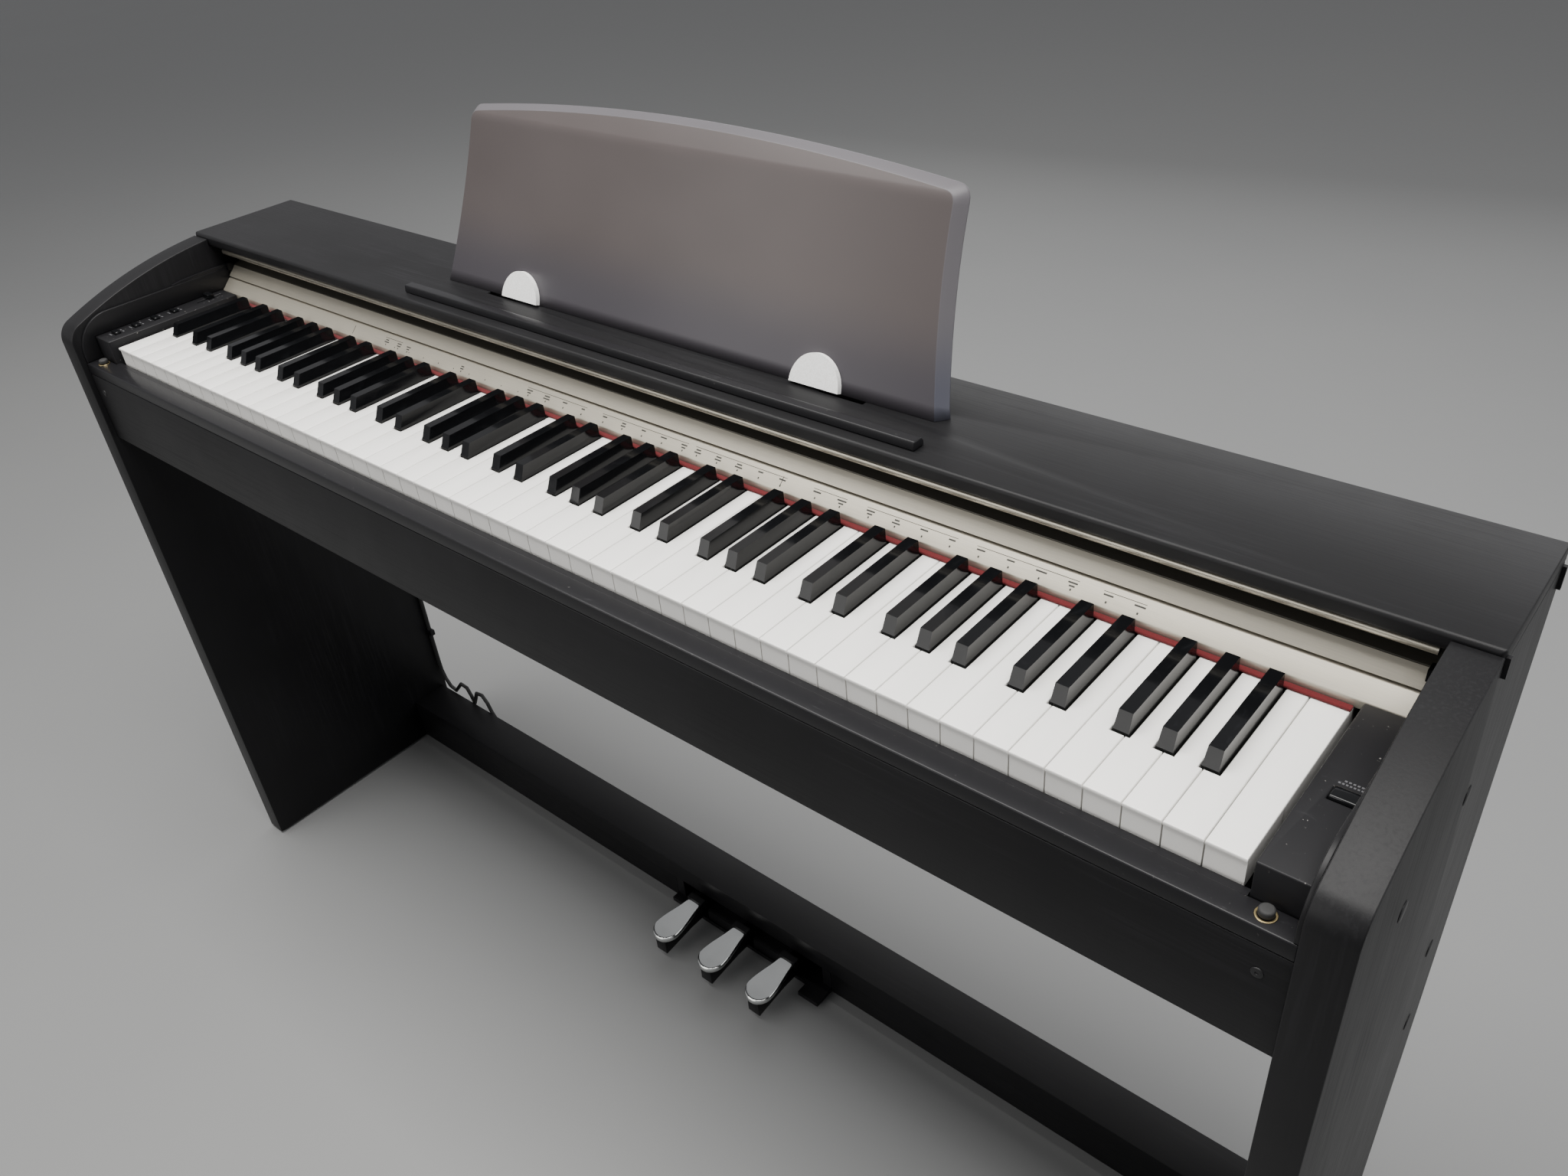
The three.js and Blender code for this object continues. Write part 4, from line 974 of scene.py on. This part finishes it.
def build_pedals():
    """Three spoons on their levers, each with a collar."""
    for name in ("left", "middle", "right"):
        low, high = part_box(f"pedal_{name}")
        top = high.z
        rows = ((2.6, -7.5), (1.2, -7.1), (0.3, -5.9), (0.0, -4.2), (0.15, -2.6), (0.5, -1.3),
                (0.95, -0.55), (1.6, -0.12), (2.6, 0.0), (5.0, -0.25), (8.5, -0.45))
        bm = bmesh.new()
        loops = [[bm.verts.new(point)
                  for point in pedal_ring(low, high, inset * MM, top + drop * MM)]
                 for inset, drop in rows]
        for one, two in zip(loops, loops[1:]):
            bridge(bm, one, two)
        bm.faces.new(loops[0][::-1])
        bm.faces.new(loops[-1])
        bmesh.ops.triangulate(bm, faces=[face for face in bm.faces if len(face.verts) > 4])
        piece = new_piece(f"pedal_{name}_spoon", finish_mesh(bm, "pedal", 60.0), "chrome",
                          f"pedal_{name}", (f"pedal_{name}",))
        piece.modifiers.new("smooth", "SUBSURF").render_levels = 1
        soften(f"pedal_arm_{name}", "lever", f"pedal_{name}", 1.2 * MM, 3)
        bm = bmesh.new()
        middle = (low.x + high.x) / 2
        add_block(bm, (middle - 11.2 * MM, high.y - 3.5 * MM, low.z - 0.5 * MM),
                  (middle + 11.2 * MM, high.y + 4.5 * MM, high.z + 2.2 * MM))
        round_edges(bm, 1.4 * MM, 3)
        new_piece(f"pedal_{name}_collar", finish_mesh(bm, "collar"), "lever", f"pedal_{name}")


# ================================ stage ================================
def area_light(name, place, target, size, energy, colour=(1.0, 1.0, 1.0)):
    """A rectangular light aimed at a target."""
    data = bpy.data.lights.new(name, "AREA")
    data.shape = "RECTANGLE"
    data.size, data.size_y = size
    data.energy = energy
    data.color = colour
    lamp = bpy.data.objects.new(name, data)
    lamp.location = place
    lamp.rotation_mode = "QUATERNION"
    lamp.rotation_quaternion = (Vector(target) - Vector(place)).to_track_quat("-Z", "Y")
    bpy.context.scene.collection.objects.link(lamp)


def build_stage():
    """Camera, floor, world and four soft lights."""
    scene = bpy.context.scene
    camera_data = bpy.data.cameras.new("main_view")
    camera_data.sensor_width = SENSOR
    camera_data.lens = CAMERA_LENS
    camera_data.clip_start = 0.02
    camera_data.clip_end = 100.0
    camera = bpy.data.objects.new("main_view", camera_data)
    scene.collection.objects.link(camera)
    camera.matrix_world = Matrix.Translation(Vector(CAMERA_PLACE)) @ Matrix(CAMERA_TURN).to_4x4()
    scene.camera = camera

    bm = bmesh.new()
    bmesh.ops.create_grid(bm, x_segments=8, y_segments=8, size=14.0)
    mesh = bpy.data.meshes.new("floor")
    bm.to_mesh(mesh)
    bm.free()
    floor = bpy.data.objects.new("floor", mesh)
    scene.collection.objects.link(floor)
    mesh.materials.append(FINISHES["floor"])

    world = bpy.data.worlds.new("studio")
    world.use_nodes = True
    background = world.node_tree.nodes["Background"]
    background.inputs["Color"].default_value = (0.98, 0.98, 1.0, 1.0)
    background.inputs["Strength"].default_value = 0.38
    scene.world = world
    area_light("overhead", (0.0, -0.25, 2.9), (0.0, -0.05, 0.6), (3.4, 1.4), 168.0,
               (1.0, 0.985, 0.96))
    area_light("right_wall", (2.9, 0.9, 1.2), (0.4, 0.0, 0.6), (2.4, 2.0), 28.0)
    area_light("back_wall", (-0.4, 2.6, 1.6), (0.0, 0.0, 0.7), (4.0, 1.8), 34.0)
    area_light("front_fill", (-1.2, -2.9, 1.7), (0.0, 0.0, 0.6), (2.6, 1.8), 45.0,
               (1.0, 0.985, 0.955))


# ================================ operators and panel ================================
class PIANO_OT_finishes(bpy.types.Operator):
    """Makes every material of the instrument and the floor"""
    bl_idname = "piano.finishes"
    bl_label = "Finishes"
    bl_options = {"REGISTER", "UNDO"}

    def execute(self, context):
        make_finishes()
        return {"FINISHED"}


class PIANO_OT_stage(bpy.types.Operator):
    """Places the camera, the floor and the lights"""
    bl_idname = "piano.stage"
    bl_label = "Stage"
    bl_options = {"REGISTER", "UNDO"}

    def execute(self, context):
        build_stage()
        return {"FINISHED"}


class PIANO_OT_case(bpy.types.Operator):
    """Builds the panels, boards and mouldings of the case and stand"""
    bl_idname = "piano.case"
    bl_label = "Case and stand"
    bl_options = {"REGISTER", "UNDO"}

    def execute(self, context):
        build_case()
        return {"FINISHED"}


class PIANO_OT_fixings(bpy.types.Operator):
    """Builds the screw caps, screws, rings, rail ends and clips"""
    bl_idname = "piano.fixings"
    bl_label = "Fixings"
    bl_options = {"REGISTER", "UNDO"}

    def execute(self, context):
        build_fixings()
        return {"FINISHED"}


class PIANO_OT_keys(bpy.types.Operator):
    """Builds the white keys, the black keys and the felt behind them"""
    bl_idname = "piano.keys"
    bl_label = "Keyboard"
    bl_options = {"REGISTER", "UNDO"}

    def execute(self, context):
        build_keys()
        return {"FINISHED"}


class PIANO_OT_controls(bpy.types.Operator):
    """Builds the control panel, the buttons and the slider"""
    bl_idname = "piano.controls"
    bl_label = "Controls"
    bl_options = {"REGISTER", "UNDO"}

    def execute(self, context):
        build_controls()
        return {"FINISHED"}


class PIANO_OT_marks(bpy.types.Operator):
    """Prints plain bars and ticks on the panel and the end blocks"""
    bl_idname = "piano.marks"
    bl_label = "Printed marks"
    bl_options = {"REGISTER", "UNDO"}

    def execute(self, context):
        build_marks()
        return {"FINISHED"}


class PIANO_OT_lid(bpy.types.Operator):
    """Builds the lid's strip, its two leaves and their nosing"""
    bl_idname = "piano.lid"
    bl_label = "Lid"
    bl_options = {"REGISTER", "UNDO"}

    def execute(self, context):
        build_lid()
        return {"FINISHED"}


class PIANO_OT_music_stand(bpy.types.Operator):
    """Builds the smoked music stand, its page rests and the ledge"""
    bl_idname = "piano.music_stand"
    bl_label = "Music stand"
    bl_options = {"REGISTER", "UNDO"}

    def execute(self, context):
        build_stand()
        return {"FINISHED"}


class PIANO_OT_pedals(bpy.types.Operator):
    """Builds the three pedals and their levers"""
    bl_idname = "piano.pedals"
    bl_label = "Pedals"
    bl_options = {"REGISTER", "UNDO"}

    def execute(self, context):
        build_pedals()
        return {"FINISHED"}


STEPS = (
    PIANO_OT_finishes, PIANO_OT_stage, PIANO_OT_case, PIANO_OT_fixings, PIANO_OT_keys,
    PIANO_OT_controls, PIANO_OT_marks, PIANO_OT_lid, PIANO_OT_music_stand, PIANO_OT_pedals,
)


class PIANO_PT_sidebar(bpy.types.Panel):
    """Lists the steps that build the piano"""
    bl_idname = "PIANO_PT_sidebar"
    bl_label = "Console piano"
    bl_space_type = "VIEW_3D"
    bl_region_type = "UI"
    bl_category = "Piano"

    def draw(self, context):
        for step in STEPS:
            self.layout.operator(step.bl_idname)
        for group in (context.scene.piano_sizes, context.scene.piano_colours):
            for name in group.bl_rna.properties.keys():
                if name not in ("rna_type", "name"):
                    self.layout.prop(group, name)


CLASSES = (PianoSizes, PianoColours, *STEPS, PIANO_PT_sidebar)


def register():
    for made in CLASSES:
        bpy.utils.register_class(made)
    bpy.types.Scene.piano_sizes = bpy.props.PointerProperty(type=PianoSizes)
    bpy.types.Scene.piano_colours = bpy.props.PointerProperty(type=PianoColours)


def unregister():
    del bpy.types.Scene.piano_colours
    del bpy.types.Scene.piano_sizes
    for made in reversed(CLASSES):
        bpy.utils.unregister_class(made)


def main():
    register()
    for step in STEPS:
        group, name = step.bl_idname.split(".")
        getattr(getattr(bpy.ops, group), name)()


if __name__ == "__main__":
    main()
